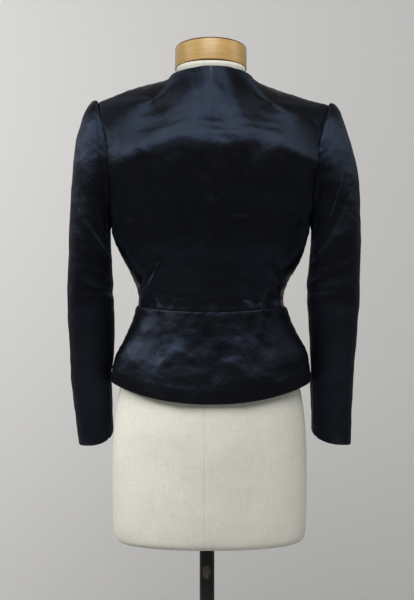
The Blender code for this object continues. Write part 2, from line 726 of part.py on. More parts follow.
def front_seat(height):
    """The point of the right front on the centre line at a height, and its direction out."""
    rows = BODICE_LOWER_ROWS + ARMHOLE_STEPS
    below = bodice_point(0, 0.0, "front", "right")
    for i in range(1, rows * 8 + 1):
        above = bodice_point(i / 8.0, 0.0, "front", "right")
        if above.z >= height:
            break
        below = above
    seat = below.lerp(above, (height - below.z) / (above.z - below.z))
    rise = above - below
    out = Vector((0.0, -rise.z, rise.y)).normalized()
    return to_world(seat, "right") + out * (LAP_LIFT + BUTTON_SHANK), out


def make_buttons(material, collection):
    """Domed, cloth-covered buttons down the centre front."""
    profile = [(0.0, BUTTON_HEIGHT)]
    for k in range(1, 5):
        angle = math.radians(22.5 * k)
        flat = BUTTON_HEIGHT * (0.3 + 0.7 * math.cos(angle))
        profile.append((BUTTON_RADIUS * math.sin(angle), flat))
    profile += [(BUTTON_RADIUS * 0.8, 0.0), (0.0, 0.0)]
    for number, height in enumerate(BUTTON_HEIGHTS, start=1):
        piece = make_turned(f"button_{number}", profile, 12, material, collection)
        seat, out = front_seat(height)
        turn = out.to_track_quat("Z", "Y").to_matrix().to_4x4()
        piece.matrix_world = Matrix.Translation(seat) @ turn


def main():
    clear_scene()
    collection = bpy.data.collections.new("silk_jacket_on_dress_form")
    bpy.context.scene.collection.children.link(collection)
    silk = make_material("navy_silk_satin", (0.010, 0.012, 0.018), 0.38)
    linen = make_material("cream_linen", (0.54, 0.52, 0.46), 0.85)
    maple = make_material("varnished_maple", (0.60, 0.44, 0.20), 0.40)
    enamel = make_material("black_enamel", (0.018, 0.017, 0.016), 0.45)
    iron = make_material("black_cast_iron", (0.020, 0.020, 0.020), 0.60)

    for side in ("left", "right"):
        for facing in ("back", "front"):
            make_bodice_piece(f"{facing}_{side}", facing, side, silk, collection)
        make_peplum_piece(f"peplum_front_{side}", "front", side, silk, collection)
        upper = (FORE_SEAM_STEP - 2 * ARMHOLE_STEPS, HIND_SEAM_STEP)
        under = (HIND_SEAM_STEP, FORE_SEAM_STEP)
        make_sleeve_piece(f"sleeve_upper_{side}", side, *upper, silk, collection)
        make_sleeve_piece(f"sleeve_under_{side}", side, *under, silk, collection)
    make_peplum_piece("peplum_back", "back", "right", silk, collection)
    make_buttons(silk, collection)
    make_form_torso("form_torso", linen, collection)
    make_neck_block("neck_block", maple, collection)
    make_stand(collection, enamel, iron)


main()
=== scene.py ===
"""The looks of a fitted silk satin jacket on a limbless dress form.

Metres, +Z up; the wearer faces -Y and the wearer's left is +X.
Every cut piece of cloth is a thin shell on the form of its solid, with its creases, seams and hems.
"""

import math
from collections import namedtuple

import bmesh
import bpy
from mathutils import Matrix, Vector, noise


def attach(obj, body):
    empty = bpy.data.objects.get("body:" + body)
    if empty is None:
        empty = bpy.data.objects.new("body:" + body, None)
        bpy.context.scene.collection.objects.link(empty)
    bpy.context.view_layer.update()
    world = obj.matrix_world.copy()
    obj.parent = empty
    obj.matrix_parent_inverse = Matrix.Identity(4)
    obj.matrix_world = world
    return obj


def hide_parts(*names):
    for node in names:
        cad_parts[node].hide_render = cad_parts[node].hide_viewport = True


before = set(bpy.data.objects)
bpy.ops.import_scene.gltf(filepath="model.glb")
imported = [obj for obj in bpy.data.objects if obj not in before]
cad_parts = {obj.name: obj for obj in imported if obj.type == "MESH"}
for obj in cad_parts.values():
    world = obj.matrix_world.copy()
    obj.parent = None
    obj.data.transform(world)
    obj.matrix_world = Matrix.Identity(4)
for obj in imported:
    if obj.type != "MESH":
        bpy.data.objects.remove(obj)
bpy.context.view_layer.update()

# Cloth
SILK_THICK = 0.0012
SEAM_GAP = 0.0003
AXIS_X = -0.0065
CLOTH_EDGE_ANGLE = math.radians(60.0)

# Which way is outwards from the middle of the body
OUT_X = {"left": 1.0, "right": -1.0}
OUT_Y = {"back": 1.0, "front": -1.0}

# Bodice: neck, shoulder and armhole
NECK_BACK = (0.0, 0.0620, 1.4068)
NECK_FRONT = (0.0, -0.0860, 1.3000)
NECK_SIDE = (0.0708, 0.0060, 1.3950)
SHOULDER_TIP_Y = -0.0020
SHOULDER_TIP = {"left": (0.1900, 1.3555), "right": (0.1990, 1.3515)}
SHOULDER_ARCH = {"left": 0.0058, "right": -0.0022}
NECK_FLARE = 0.0040
NECK_FLARE_FADE = 12
NECK_SHARE = 5.0 / 12.0
ARMHOLE_DEPTH = 0.0575
ARMHOLE_HOLLOW = 0.0095
BACK_BULGE = {"middle": 0.0265, "reach": 0.60}
FRONT_BULGE = {"middle": 0.0085, "reach": 0.75}
YOKE_SOFTNESS = 0.40
ROUND_FROM = 0.70
NECK_BLEND = 0.16
NECK_BLEND_UNTIL = 0.80

# Bust shaping and the front lap
BUST_X = 0.0860
BUST_Z = 1.1880
BUST_RISE = 0.0170
BUST_WIDTH = 0.0460
BUST_HEIGHT = 0.0560
LAP = 0.0150
LAP_LIFT = 0.0027
LAP_START = 0.0220
LAP_END = 0.0550

# Sleeves: seams are counted in steps round the armhole, from the outer edge through the back
ARMHOLE_STEPS = 11
LOWER_STEPS = 9
HIND_SEAM_STEP = 9
FORE_SEAM_STEP = 14
SLEEVE_SET_OUT = 0.0003
CUFF_SLANT = 0.0240
CUFF_SLANT_TURN = math.radians(45.0)
CUFF_RINGS = 3
SLEEVE_MIDDLE_X = 0.2
HOOP_SQUARE = 2.15

# Dress form and stand
NECK_LEAN = math.radians(7.2)
NECK_CENTRE_Y = -0.0080
BLOCK_RADIUS = 0.0612
BLOCK_HEIGHT = 0.0400
BLOCK_EDGE = 0.0035
BLOCK_BASE_Z = 1.4106
NECK_RIM_Z = 1.3900
RIM_BEND = math.radians(45.0)
WELD_REACH = 0.00001
FLAT_BEND = math.radians(40.0)
FLAT_SKEW = math.radians(60.0)
TURNED_EDGE_ANGLE = math.radians(35.0)
POLE_RADIUS = 0.0126
POLE_FOOT = 0.0423
POLE_HEAD = 0.6107
POLE_EDGE = 0.0006

# The linen's joined edge, and the patch of the pole's enamel that is worn
JOIN_X = 0.0049
JOIN_HALF_WIDTH = 0.0004
JOIN_FADE = 0.0016
PATCH_MIDDLE = (0.0014, POLE_RADIUS, 0.5605)
PATCH_REACH = (0.0100, 0.0100, 0.0150)

# Sizes of the marks in each finish, in millimetres, and one for each axis where they are drawn out
SATIN_CLOUD = 111.1
SATIN_RUMPLE = 25.0
SATIN_SLUB = (71.43, 3.125, 1000.0)
SATIN_THREAD = (1.111, 16.67, 1000.0)
LINEN_SOIL = 142.9
LINEN_LUMP = 58.82
LINEN_WEFT = (16.67, 16.67, 1.111)
LINEN_WARP = (1.111, 3.333, 33.33)
MAPLE_GRAIN = (71.43, 25.0, 2.381)
ENAMEL_SCRATCH = 11.11
WEAR_CHIP = 6.25
WEAR_STREAK = (2.0, 2.0, 12.5)
IRON_GRIT = 3.846

# The sockets of a Mix node that take and give colours
UNDER = 6
OVER = 7
COLOUR_MIX = {"data_type": "RGBA", "output": 2}

# Room: the camera, the wall behind the form and the lamps, with beams in degrees and power in watts
CAMERA_PLACE = (0.0, 2.0, 1.02)
CAMERA_LENS = 70.59
WALL_Y = -1.6
ROOM_REACH = 4.0
Lamp = namedtuple("Lamp", "name place aim wide deep beam power")
LAMPS = [
    Lamp("key", (0.10, 2.1, 3.4), (0.0, 0.2, 1.1), 2.2, 2.2, 180.0, 107.0),
    Lamp("left_side", (2.2, 0.3, 2.1), (0.1, 0.1, 0.84), 0.6, 0.6, 24.0, 0.85),
    Lamp("right_side", (-2.2, 0.2, 2.2), (-0.1, 0.1, 0.9), 0.9, 1.2, 180.0, 9.0),
    Lamp("wall_wash", (2.4, 0.4, 2.4), (1.4, -1.6, 1.2), 1.8, 1.8, 98.0, 22.0),
]

# Sewn edges: how deep a seam sinks, and how far that reaches
SEAM_DIP = 0.0011
SEAM_ROLL = 0.0021
SEAM_FLAT = 0.0015
PRESSED_DIP = 0.00020
PRESSED_ROLL = 0.0012
WAIST_RISE = {"bodice waist": 0.0009, "peplum waist": 0.0}
WAIST_REACH = 0.0110
WAIST_DIP = 0.0001

# Puckers along a seam: each ripple's radians a metre, strength and start
PUCKER = 0.00030
WAIST_PUCKER = 0.00015
PUCKER_REACH = 0.0110
SEAM_RIPPLES = ((345.0, 1.0, 0.0), (563.0, 0.7, 1.3), (151.0, 0.5, 0.4))
WAIST_RIPPLES = ((310.0, 1.0, 0.0), (127.0, 0.8, 0.9))

# Turned edges: how deep each is turned, and the line of stitching that holds it
TURNED = {"hem": 0.0280, "faced": 0.0090}
TURNED_RISE = 0.0003
TURNED_FADE = 0.0040
STITCH_DIP = 0.0001
STITCH_WIDTH = 0.0010
EDGE_ROLL = 0.0008
EDGE_WIDTH = 0.0012

# Folds fade out along their length, and are left out where they are too far away to matter
FOLD_FADE = 0.25
FAR_AWAY = 3.0

# Rumples all over the worn satin: how many a metre, and how high
RUMPLES = ((15.0, 0.00110), (34.0, 0.00090), (75.0, 0.00038), (150.0, 0.00014))

# How finely the cloth is laid out
BODICE_ROWS = 160
BODICE_COLUMNS = 84
PEPLUM_ROWS = 72
PEPLUM_COLUMNS = 84
SLEEVE_ROWS = 210
SLEEVE_COLUMNS_A_STEP = 7

# How the cloth is eased at the underarm and over the shoulders, and how near its edges that stops
EDGE_TAPS = 10
UNDERARM_PASSES = 60
UNDERARM_ROWS = 26
YOKE_PASSES = 170
YOKE_EDGE_ROWS = 16.0
ARMHOLE_COLUMNS = 8.0

Hoop = namedtuple("Hoop", "side_z back_z front_z half_width back front")
BODICE_HOOPS = [
    Hoop(1.0105, 1.0000, 1.0080, 0.1208, 0.0780, 0.0970),
    Hoop(1.0250, 1.0200, 1.0240, 0.1212, 0.0785, 0.0972),
    Hoop(1.0540, 1.0510, 1.0530, 0.1312, 0.0825, 0.1000),
    Hoop(1.0810, 1.0790, 1.0800, 0.1450, 0.0865, 0.1050),
    Hoop(1.1080, 1.1080, 1.1080, 0.1590, 0.0928, 0.1135),
    Hoop(1.1300, 1.1340, 1.1350, 0.1665, 0.0965, 0.1180),
    Hoop(1.1480, 1.1600, 1.1620, 0.1690, 0.0985, 0.1200),
]
PEPLUM_HOOPS = [
    Hoop(1.0102, 0.9997, 1.0077, 0.1220, 0.0790, 0.0980),
    Hoop(1.0060, 0.9950, 1.0030, 0.1266, 0.0797, 0.0995),
    Hoop(0.9860, 0.9720, 0.9800, 0.1340, 0.0826, 0.1035),
    Hoop(0.9590, 0.9430, 0.9510, 0.1470, 0.0872, 0.1100),
    Hoop(0.9320, 0.9130, 0.9220, 0.1605, 0.0930, 0.1170),
    Hoop(0.9040, 0.8820, 0.8920, 0.1670, 0.0985, 0.1215),
    Hoop(0.8815, 0.8510, 0.8670, 0.1680, 0.1020, 0.1230),
]

# Where one side of the body is fuller than the hoops say, or slimmer
Fullness = namedtuple("Fullness", "z reach amount")
SIDE_FULLNESS = {
    "left": [Fullness(0.9500, 0.0300, -0.0030)],
    "right": [
        Fullness(1.0800, 0.0260, 0.0050),
        Fullness(1.0080, 0.0220, 0.0028),
        Fullness(0.9450, 0.0300, 0.0024),
    ],
}

# Folds of the body: a soft ridge, or a trough where the depth is below zero, from end to end
Fold = namedtuple("Fold", "x0 z0 x1 z1 width depth")
BACK_FOLDS = [
    Fold(0.0900, 1.0720, 0.1100, 1.0250, 0.0090, 0.0044),
    Fold(0.0980, 1.0700, 0.1250, 1.0400, 0.0080, -0.0025),
    Fold(-0.1020, 1.0720, -0.1190, 1.0450, 0.0090, 0.0030),
    Fold(-0.1120, 1.0760, -0.1290, 1.0560, 0.0080, -0.0022),
    Fold(0.0250, 1.1700, -0.0150, 1.2250, 0.0140, 0.0018),
    Fold(0.1500, 1.2480, 0.1100, 1.2620, 0.0280, 0.0034),
    Fold(0.1000, 1.2740, 0.0500, 1.2900, 0.0260, 0.0036),
    Fold(0.0250, 1.2740, -0.0350, 1.2740, 0.0260, 0.0032),
    Fold(-0.0600, 1.2880, -0.1150, 1.2880, 0.0260, 0.0038),
    Fold(-0.1200, 1.2640, -0.1600, 1.2460, 0.0260, 0.0046),
    Fold(-0.1380, 1.2580, -0.1660, 1.2500, 0.0150, 0.0042),
    Fold(0.0160, 1.3100, -0.0160, 1.3060, 0.0080, -0.0023),
    Fold(-0.0020, 1.2920, -0.0380, 1.2900, 0.0060, 0.0013),
    Fold(0.1500, 1.3100, 0.0900, 1.3230, 0.0090, 0.0011),
    Fold(0.1350, 1.2980, 0.1000, 1.3010, 0.0050, -0.0007),
    Fold(-0.0900, 1.3320, -0.1400, 1.3200, 0.0080, 0.0011),
    Fold(-0.0550, 1.3060, -0.1000, 1.3010, 0.0060, -0.0009),
    Fold(0.0700, 1.2900, 0.0350, 1.3010, 0.0060, -0.0008),
    Fold(0.1200, 1.2700, 0.1000, 1.2560, 0.0050, 0.0008),
    Fold(0.0895, 1.0650, 0.1090, 1.0210, 0.0030, 0.0034),
    Fold(0.0960, 1.0620, 0.1140, 1.0280, 0.0026, -0.0014),
    Fold(-0.1020, 1.0660, -0.1140, 1.0480, 0.0026, 0.0028),
    Fold(-0.0960, 1.0580, -0.1120, 1.0380, 0.0030, -0.0012),
    Fold(0.0920, 1.0330, 0.0680, 1.0290, 0.0028, 0.0007),
    Fold(0.0900, 1.0220, 0.0600, 1.0180, 0.0030, 0.0007),
    Fold(-0.0500, 1.0480, -0.0850, 1.0300, 0.0060, 0.0010),
    Fold(0.0100, 1.0300, 0.0500, 1.0180, 0.0050, 0.0008),
    Fold(-0.0200, 1.0320, -0.0600, 1.0220, 0.0045, -0.0007),
    Fold(0.0090, 1.1260, 0.0430, 1.1010, 0.0060, 0.0012),
    Fold(0.0020, 1.1910, -0.0080, 1.1850, 0.0050, 0.0012),
    Fold(0.1200, 1.1180, 0.1040, 1.0830, 0.0050, 0.0012),
    Fold(0.1080, 1.1400, 0.1000, 1.1250, 0.0050, -0.0009),
    Fold(-0.0620, 1.2200, -0.0850, 1.1900, 0.0080, 0.0009),
    Fold(0.1200, 1.2400, 0.1480, 1.1900, 0.0090, -0.0012),
    Fold(-0.1250, 1.2450, -0.1500, 1.1950, 0.0090, -0.0012),
    Fold(-0.0200, 1.1500, -0.0300, 1.0900, 0.0090, -0.0008),
]
FRONT_FOLDS = [
    Fold(0.0850, 1.0700, 0.1120, 1.0300, 0.0090, 0.0028),
    Fold(-0.0880, 1.0660, -0.1160, 1.0300, 0.0090, 0.0030),
    Fold(0.0900, 1.0620, 0.1100, 1.0260, 0.0032, 0.0018),
    Fold(-0.0920, 1.0600, -0.1130, 1.0250, 0.0032, 0.0018),
    Fold(0.1000, 1.2700, 0.1350, 1.2100, 0.0090, -0.0016),
    Fold(-0.1020, 1.2750, -0.1380, 1.2150, 0.0090, -0.0017),
    Fold(0.0300, 1.0500, 0.0700, 1.0250, 0.0060, 0.0010),
    Fold(-0.0400, 1.0450, -0.0750, 1.0220, 0.0060, 0.0010),
    Fold(0.0450, 1.2600, 0.0900, 1.3100, 0.0110, 0.0012),
    Fold(-0.0500, 1.2550, -0.0950, 1.3080, 0.0110, 0.0012),
    Fold(0.0820, 1.1500, 0.0760, 1.0250, 0.0014, -0.0012),
    Fold(-0.0820, 1.1500, -0.0760, 1.0250, 0.0014, -0.0012),
]
PEPLUM_FOLDS = [
    Fold(0.0860, 0.9900, 0.0880, 0.9300, 0.0100, -0.0030),
    Fold(-0.0960, 0.9920, -0.0980, 0.9400, 0.0100, -0.0030),
    Fold(0.0600, 0.9300, 0.0500, 0.8560, 0.0160, 0.0020),
    Fold(-0.0500, 0.9400, -0.0560, 0.8600, 0.0180, 0.0024),
    Fold(0.0875, 0.9900, 0.0885, 0.9400, 0.0014, -0.0014),
    Fold(-0.0960, 0.9960, -0.0970, 0.9550, 0.0014, 0.0012),
    Fold(-0.0840, 0.9850, -0.0800, 0.9680, 0.0070, 0.0013),
    Fold(-0.0700, 0.9660, -0.0860, 0.9450, 0.0090, -0.0010),
    Fold(0.0790, 0.9180, 0.0360, 0.9470, 0.0080, 0.0007),
    Fold(0.1100, 0.9700, 0.1250, 0.9200, 0.0120, 0.0016),
    Fold(-0.1150, 0.9650, -0.1300, 0.9200, 0.0120, 0.0016),
    Fold(0.0050, 0.9600, 0.0000, 0.9000, 0.0140, -0.0010),
    Fold(-0.0250, 0.9200, -0.0700, 0.8900, 0.0100, 0.0005),
]

# Creases of the sleeves: a place along the rings, an angle round them, and a rise as it turns
Crease = namedtuple("Crease", "place angle spread slant width depth")
SLEEVE_CREASES = {
    "left": [
        Crease(9.5, 150.0, 60.0, 0.0, 0.35, -0.0024),
        Crease(9.0, 140.0, 60.0, 0.0, 0.40, 0.0014),
        Crease(10.0, 130.0, 60.0, 0.0, 0.40, 0.0014),
        Crease(7.0, 120.0, 40.0, 0.0, 0.35, 0.0024),
        Crease(12.5, 230.0, 60.0, 0.0, 0.45, -0.0020),
        Crease(9.4, 120.0, 50.0, 0.3, 0.12, -0.0009),
        Crease(8.6, 120.0, 30.0, -0.3, 0.14, 0.0007),
        Crease(10.4, 90.0, 40.0, 0.3, 0.16, 0.0008),
        Crease(6.9, 128.0, 26.0, 0.1, 0.12, 0.0012),
        Crease(5.1, 135.0, 24.0, 0.0, 0.10, 0.0018),
        Crease(5.9, 100.0, 30.0, 0.5, 0.20, -0.0008),
        Crease(11.6, 70.0, 35.0, -0.3, 0.20, 0.0007),
        Crease(12.6, 100.0, 35.0, 0.3, 0.22, -0.0007),
        Crease(1.3, 40.0, 30.0, 0.3, 0.30, 0.0008),
        Crease(8.2, 300.0, 60.0, 0.4, 0.20, -0.0013),
        Crease(9.3, 280.0, 60.0, 0.3, 0.16, 0.0014),
        Crease(10.2, 290.0, 60.0, -0.3, 0.18, -0.0012),
    ],
    "right": [
        Crease(9.5, 120.0, 60.0, 0.0, 0.35, -0.0026),
        Crease(10.0, 110.0, 60.0, 0.0, 0.40, 0.0018),
        Crease(9.0, 120.0, 60.0, 0.0, 0.40, 0.0014),
        Crease(7.5, 100.0, 45.0, 0.0, 0.45, 0.0026),
        Crease(12.5, 230.0, 60.0, 0.0, 0.45, -0.0020),
        Crease(9.4, 90.0, 60.0, 0.1, 0.12, -0.0010),
        Crease(8.7, 70.0, 40.0, -0.3, 0.14, 0.0008),
        Crease(10.3, 80.0, 40.0, 0.3, 0.14, 0.0008),
        Crease(5.65, 92.0, 24.0, 1.5, 0.14, 0.0016),
        Crease(6.4, 80.0, 30.0, 0.8, 0.22, -0.0008),
        Crease(11.4, 100.0, 35.0, -0.4, 0.20, 0.0008),
        Crease(12.8, 90.0, 35.0, 0.3, 0.22, -0.0007),
        Crease(1.3, 50.0, 30.0, 0.3, 0.30, 0.0008),
        Crease(8.3, 300.0, 60.0, 0.4, 0.20, -0.0013),
        Crease(9.4, 280.0, 60.0, 0.3, 0.16, 0.0014),
        Crease(10.3, 290.0, 60.0, -0.3, 0.18, -0.0012),
    ],
}

Ring = namedtuple("Ring", "outer_x outer_z inner_x inner_z centre_y half_depth")
SLEEVE_RINGS = {
    "left": [
        Ring(0.1900, 1.3555, 0.1690, 1.1480, -0.0010, 0.0575),
        Ring(0.1945, 1.3585, 0.1702, 1.1410, -0.0010, 0.0600),
        Ring(0.2020, 1.3560, 0.1708, 1.1350, -0.0005, 0.0615),
        Ring(0.2105, 1.3440, 0.1706, 1.1290, 0.0000, 0.0620),
        Ring(0.2175, 1.3250, 0.1702, 1.1230, 0.0010, 0.0620),
        Ring(0.2285, 1.2850, 0.1696, 1.1140, 0.0020, 0.0615),
        Ring(0.2330, 1.2400, 0.1688, 1.1020, 0.0030, 0.0600),
        Ring(0.2370, 1.1850, 0.1682, 1.0870, 0.0040, 0.0585),
        Ring(0.2395, 1.1280, 0.1675, 1.0690, 0.0050, 0.0565),
        Ring(0.2412, 1.0720, 0.1662, 1.0460, 0.0050, 0.0545),
        Ring(0.2425, 1.0200, 0.1645, 1.0190, 0.0020, 0.0520),
        Ring(0.2418, 0.9700, 0.1635, 0.9830, -0.0060, 0.0495),
        Ring(0.2405, 0.9180, 0.1650, 0.9310, -0.0170, 0.0460),
        Ring(0.2388, 0.8690, 0.1700, 0.8790, -0.0290, 0.0425),
        Ring(0.2343, 0.8190, 0.1700, 0.8260, -0.0400, 0.0395),
        Ring(0.2280, 0.7690, 0.1700, 0.7725, -0.0490, 0.0370),
    ],
    "right": [
        Ring(0.1990, 1.3515, 0.1690, 1.1480, -0.0010, 0.0575),
        Ring(0.2030, 1.3540, 0.1702, 1.1410, -0.0010, 0.0600),
        Ring(0.2100, 1.3510, 0.1708, 1.1350, -0.0005, 0.0615),
        Ring(0.2180, 1.3400, 0.1706, 1.1290, 0.0000, 0.0620),
        Ring(0.2250, 1.3220, 0.1702, 1.1230, 0.0010, 0.0620),
        Ring(0.2375, 1.2850, 0.1696, 1.1140, 0.0020, 0.0615),
        Ring(0.2480, 1.2400, 0.1680, 1.1020, 0.0030, 0.0600),
        Ring(0.2528, 1.1850, 0.1665, 1.0870, 0.0040, 0.0585),
        Ring(0.2540, 1.1280, 0.1650, 1.0690, 0.0050, 0.0565),
        Ring(0.2524, 1.0720, 0.1628, 1.0460, 0.0050, 0.0545),
        Ring(0.2512, 1.0200, 0.1635, 1.0190, 0.0020, 0.0520),
        Ring(0.2492, 0.9700, 0.1665, 0.9820, -0.0060, 0.0495),
        Ring(0.2462, 0.9190, 0.1698, 0.9320, -0.0170, 0.0460),
        Ring(0.2450, 0.8700, 0.1705, 0.8805, -0.0290, 0.0425),
        Ring(0.2438, 0.8200, 0.1725, 0.8290, -0.0400, 0.0395),
        Ring(0.2426, 0.7695, 0.1750, 0.7760, -0.0490, 0.0370),
    ],
}

# What each piece was cut to: the least rectangle it comes out of, and its own flat area
Cut = namedtuple("Cut", "width length area")


def mix(a, b, share):
    return a + (b - a) * share


def ease(low, high, value):
    """Smooth 0 to 1 as value goes from low to high."""
    share = min(1.0, max(0.0, (value - low) / (high - low)))
    return share * share * (3.0 - 2.0 * share)


def along_rows(rows, place):
    """A row at a fractional place in a table, smooth through every row."""
    last = len(rows) - 1
    index = max(0, min(int(place), last - 1))
    t = place - index
    before = rows[max(index - 1, 0)]
    here = rows[index]
    there = rows[index + 1]
    after = rows[min(index + 2, last)]
    values = []
    for p0, p1, p2, p3 in zip(before, here, there, after):
        m1 = (p2 - p0) / 2.0
        m2 = (p3 - p1) / 2.0
        values.append(
            (2 * t ** 3 - 3 * t ** 2 + 1) * p1 + (t ** 3 - 2 * t ** 2 + t) * m1
            + (-2 * t ** 3 + 3 * t ** 2) * p2 + (t ** 3 - t ** 2) * m2
        )
    return type(here)(*values)


def bent(value):
    """A sine or cosine pushed out a little, so that a hoop is fuller than an ellipse."""
    return math.copysign(abs(value) ** (2.0 / HOOP_SQUARE), value)


def bust_rise(x, z):
    across = math.exp(-(((abs(x) - BUST_X) / BUST_WIDTH) ** 2))
    upward = math.exp(-(((z - BUST_Z) / BUST_HEIGHT) ** 2))
    return BUST_RISE * across * upward


def hoop_point(hoop, share, facing, side):
    """A point on a hoop: share 0 at centre back or centre front, 1 at the side seam."""
    angle = share * math.pi / 2.0
    across = bent(math.sin(angle))
    deep = bent(math.cos(angle))
    middle_z = hoop.back_z if facing == "back" else hoop.front_z
    z = mix(hoop.side_z, middle_z, math.cos(angle) ** 2)
    x = (hoop.half_width + fullness(side, z)) * across
    if facing == "back":
        return Vector((x, hoop.back * deep, z))
    return Vector((x, -hoop.front * deep - bust_rise(x, z), z))


def fullness(side, z):
    return sum(row.amount * math.exp(-(((z - row.z) / row.reach) ** 2)) for row in SIDE_FULLNESS[side])


def top_edge(share, facing, side):
    """The neckline up to NECK_SHARE, then the shoulder seam out to its tip."""
    neck_x, neck_y, neck_z = NECK_SIDE
    if share > NECK_SHARE:
        run = (share - NECK_SHARE) / (1.0 - NECK_SHARE)
        tip_x, tip_z = SHOULDER_TIP[side]
        x = mix(neck_x, tip_x, run)
        y = mix(neck_y, SHOULDER_TIP_Y, run)
        z = mix(neck_z - NECK_FLARE, tip_z, run) + SHOULDER_ARCH[side] * math.sin(math.pi * run)
        z += NECK_FLARE * (1.0 - run) ** NECK_FLARE_FADE
        return Vector((x, y, z))
    if facing == "back":
        angle = share / NECK_SHARE * math.pi / 2.0
        x = neck_x * math.sin(angle)
        y = mix(neck_y, NECK_BACK[1], math.cos(angle))
        z = mix(neck_z, NECK_BACK[2], max(0.0, math.cos(angle)) ** 1.5)
        return Vector((x, y, z))
    run = share / NECK_SHARE
    x = neck_x * run
    y = mix(NECK_FRONT[1], neck_y, run ** 2)
    z = mix(NECK_FRONT[2], neck_z, run ** 1.7)
    return Vector((x, y, z))


def softened_edge(share, facing, side, reach):
    """The top edge averaged along its length, so that the neck's corner doesn't crease the cloth."""
    point = Vector((0.0, 0.0, 0.0))
    total = 0.0
    for k in range(-EDGE_TAPS, EDGE_TAPS + 1):
        weight = 1.0 + math.cos(math.pi * k / (EDGE_TAPS + 1))
        point += top_edge(abs(share + k / EDGE_TAPS * reach), facing, side) * weight
        total += weight
    return point / total


def yoke_point(turn, share, facing, side):
    """The bodice above the underarm: turn 0 there, pi at the neckline and shoulder seam."""
    rise = (1.0 - math.cos(turn)) / 2.0
    low = hoop_point(BODICE_HOOPS[-1], share, facing, side)
    reach = NECK_BLEND * 4.0 * share * (1.0 - share) * (1.0 - ease(NECK_BLEND_UNTIL, 1.0, rise))
    high = softened_edge(share, facing, side, reach)
    point = low.lerp(high, rise)
    round_arc = math.sin(turn)
    soft_arc = mix(round_arc ** 2, round_arc ** 4, YOKE_SOFTNESS)
    if turn < math.pi / 2.0:
        roundness = ease(ROUND_FROM, 1.0, share)
    else:
        roundness = ease(0.0, NECK_SHARE, share)
    arc = mix(soft_arc, round_arc, roundness)
    bulge = BACK_BULGE if facing == "back" else FRONT_BULGE
    spread = ease(0.0, bulge["reach"], share)
    point.y += OUT_Y[facing] * mix(bulge["middle"], ARMHOLE_DEPTH, spread) * arc
    point.x -= ARMHOLE_HOLLOW * round_arc ** 3 * share ** 4
    return point


def bodice_point(row, share, facing, side):
    """Row counts up from the waist seam, through the underarm, to the top edge.

    A negative share runs past the centre front: the mirror image of the cloth beside it.
    """
    if row <= LOWER_STEPS:
        place = row / LOWER_STEPS * (len(BODICE_HOOPS) - 1)
        point = hoop_point(along_rows(BODICE_HOOPS, place), abs(share), facing, side)
    else:
        turn = (row - LOWER_STEPS) / ARMHOLE_STEPS * math.pi
        point = yoke_point(turn, abs(share), facing, side)
    if share < 0.0:
        point.x = -point.x
    return point


def lap_share(half_width):
    """The share at which a hoop of this half width has run LAP past the centre front."""
    return -math.asin((LAP / half_width) ** (HOOP_SQUARE / 2.0)) * 2.0 / math.pi


def bodice_start(row, facing):
    """Where a row begins: on the centre-back seam, or past the centre front by the lap."""
    if facing == "back":
        return 0.0
    place = min(row / LOWER_STEPS, 1.0) * (len(BODICE_HOOPS) - 1)
    low = lap_share(along_rows(BODICE_HOOPS, place).half_width)
    high = -LAP * NECK_SHARE / NECK_SIDE[0]
    turn = max(0.0, row - LOWER_STEPS) / ARMHOLE_STEPS * math.pi
    return mix(low, high, (1.0 - math.cos(turn)) / 2.0)


def lap_lift(x, facing, side):
    """How far the right front stands out where it laps over the left."""
    if facing == "back" or side == "left":
        return 0.0
    return LAP_LIFT * (1.0 - ease(LAP_START, LAP_END, x))


def fold_height(folds, x, z):
    """The summed height of the folds at a point, each fading out at its two ends."""
    height = 0.0
    for fold in folds:
        run_x = fold.x1 - fold.x0
        run_z = fold.z1 - fold.z0
        length = math.hypot(run_x, run_z)
        across = ((x - fold.x0) * run_z - (z - fold.z0) * run_x) / length
        if abs(across) > FAR_AWAY * fold.width:
            continue
        along = ((x - fold.x0) * run_x + (z - fold.z0) * run_z) / length
        beyond = max(-along, along - length, 0.0)
        fade = max(fold.width, length * FOLD_FADE)
        height += fold.depth * math.exp(-((across / fold.width) ** 2) - (beyond / fade) ** 2)
    return height


def to_world(point, side):
    """Mirror the wearer's right side, and shift the whole onto the form's axis."""
    return Vector((OUT_X[side] * point.x + AXIS_X, point.y, point.z))


def cloth_directions(grid, outward_hint):
    """One direction a point, square to the cloth, on the side of the hint."""
    directions = []
    for i, row in enumerate(grid):
        line = []
        for j in range(len(row)):
            up = grid[min(i + 1, len(grid) - 1)][j] - grid[max(i - 1, 0)][j]
            across = row[min(j + 1, len(row) - 1)] - row[max(j - 1, 0)]
            line.append(across.cross(up).normalized())
        directions.append(line)
    i = len(grid) // 2
    j = len(grid[0]) // 3
    if directions[i][j].dot(outward_hint(grid[i][j])) < 0.0:
        directions = [[-direction for direction in line] for line in directions]
    return directions


def from_the_axis(point):
    return Vector((point.x - AXIS_X, point.y, 0.0))


def square_to_seam(directions, cells, seam_direction):
    """Turn the wall square to a seam, so that both neighbours end on parallel faces."""
    for i, j in cells:
        direction = directions[i][j]
        direction = direction - seam_direction * direction.dot(seam_direction)
        directions[i][j] = direction.normalized()


def lengths_along(line):
    """How far each point of a line is from its first point."""
    total = 0.0
    lengths = [0.0]
    for before, after in zip(line, line[1:]):
        total += (after - before).length
        lengths.append(total)
    return lengths


def rumpled(point):
    """The small uneven rise and fall of satin that has been worn and pressed."""
    return sum(height * noise.noise(point * count) for count, height in RUMPLES)


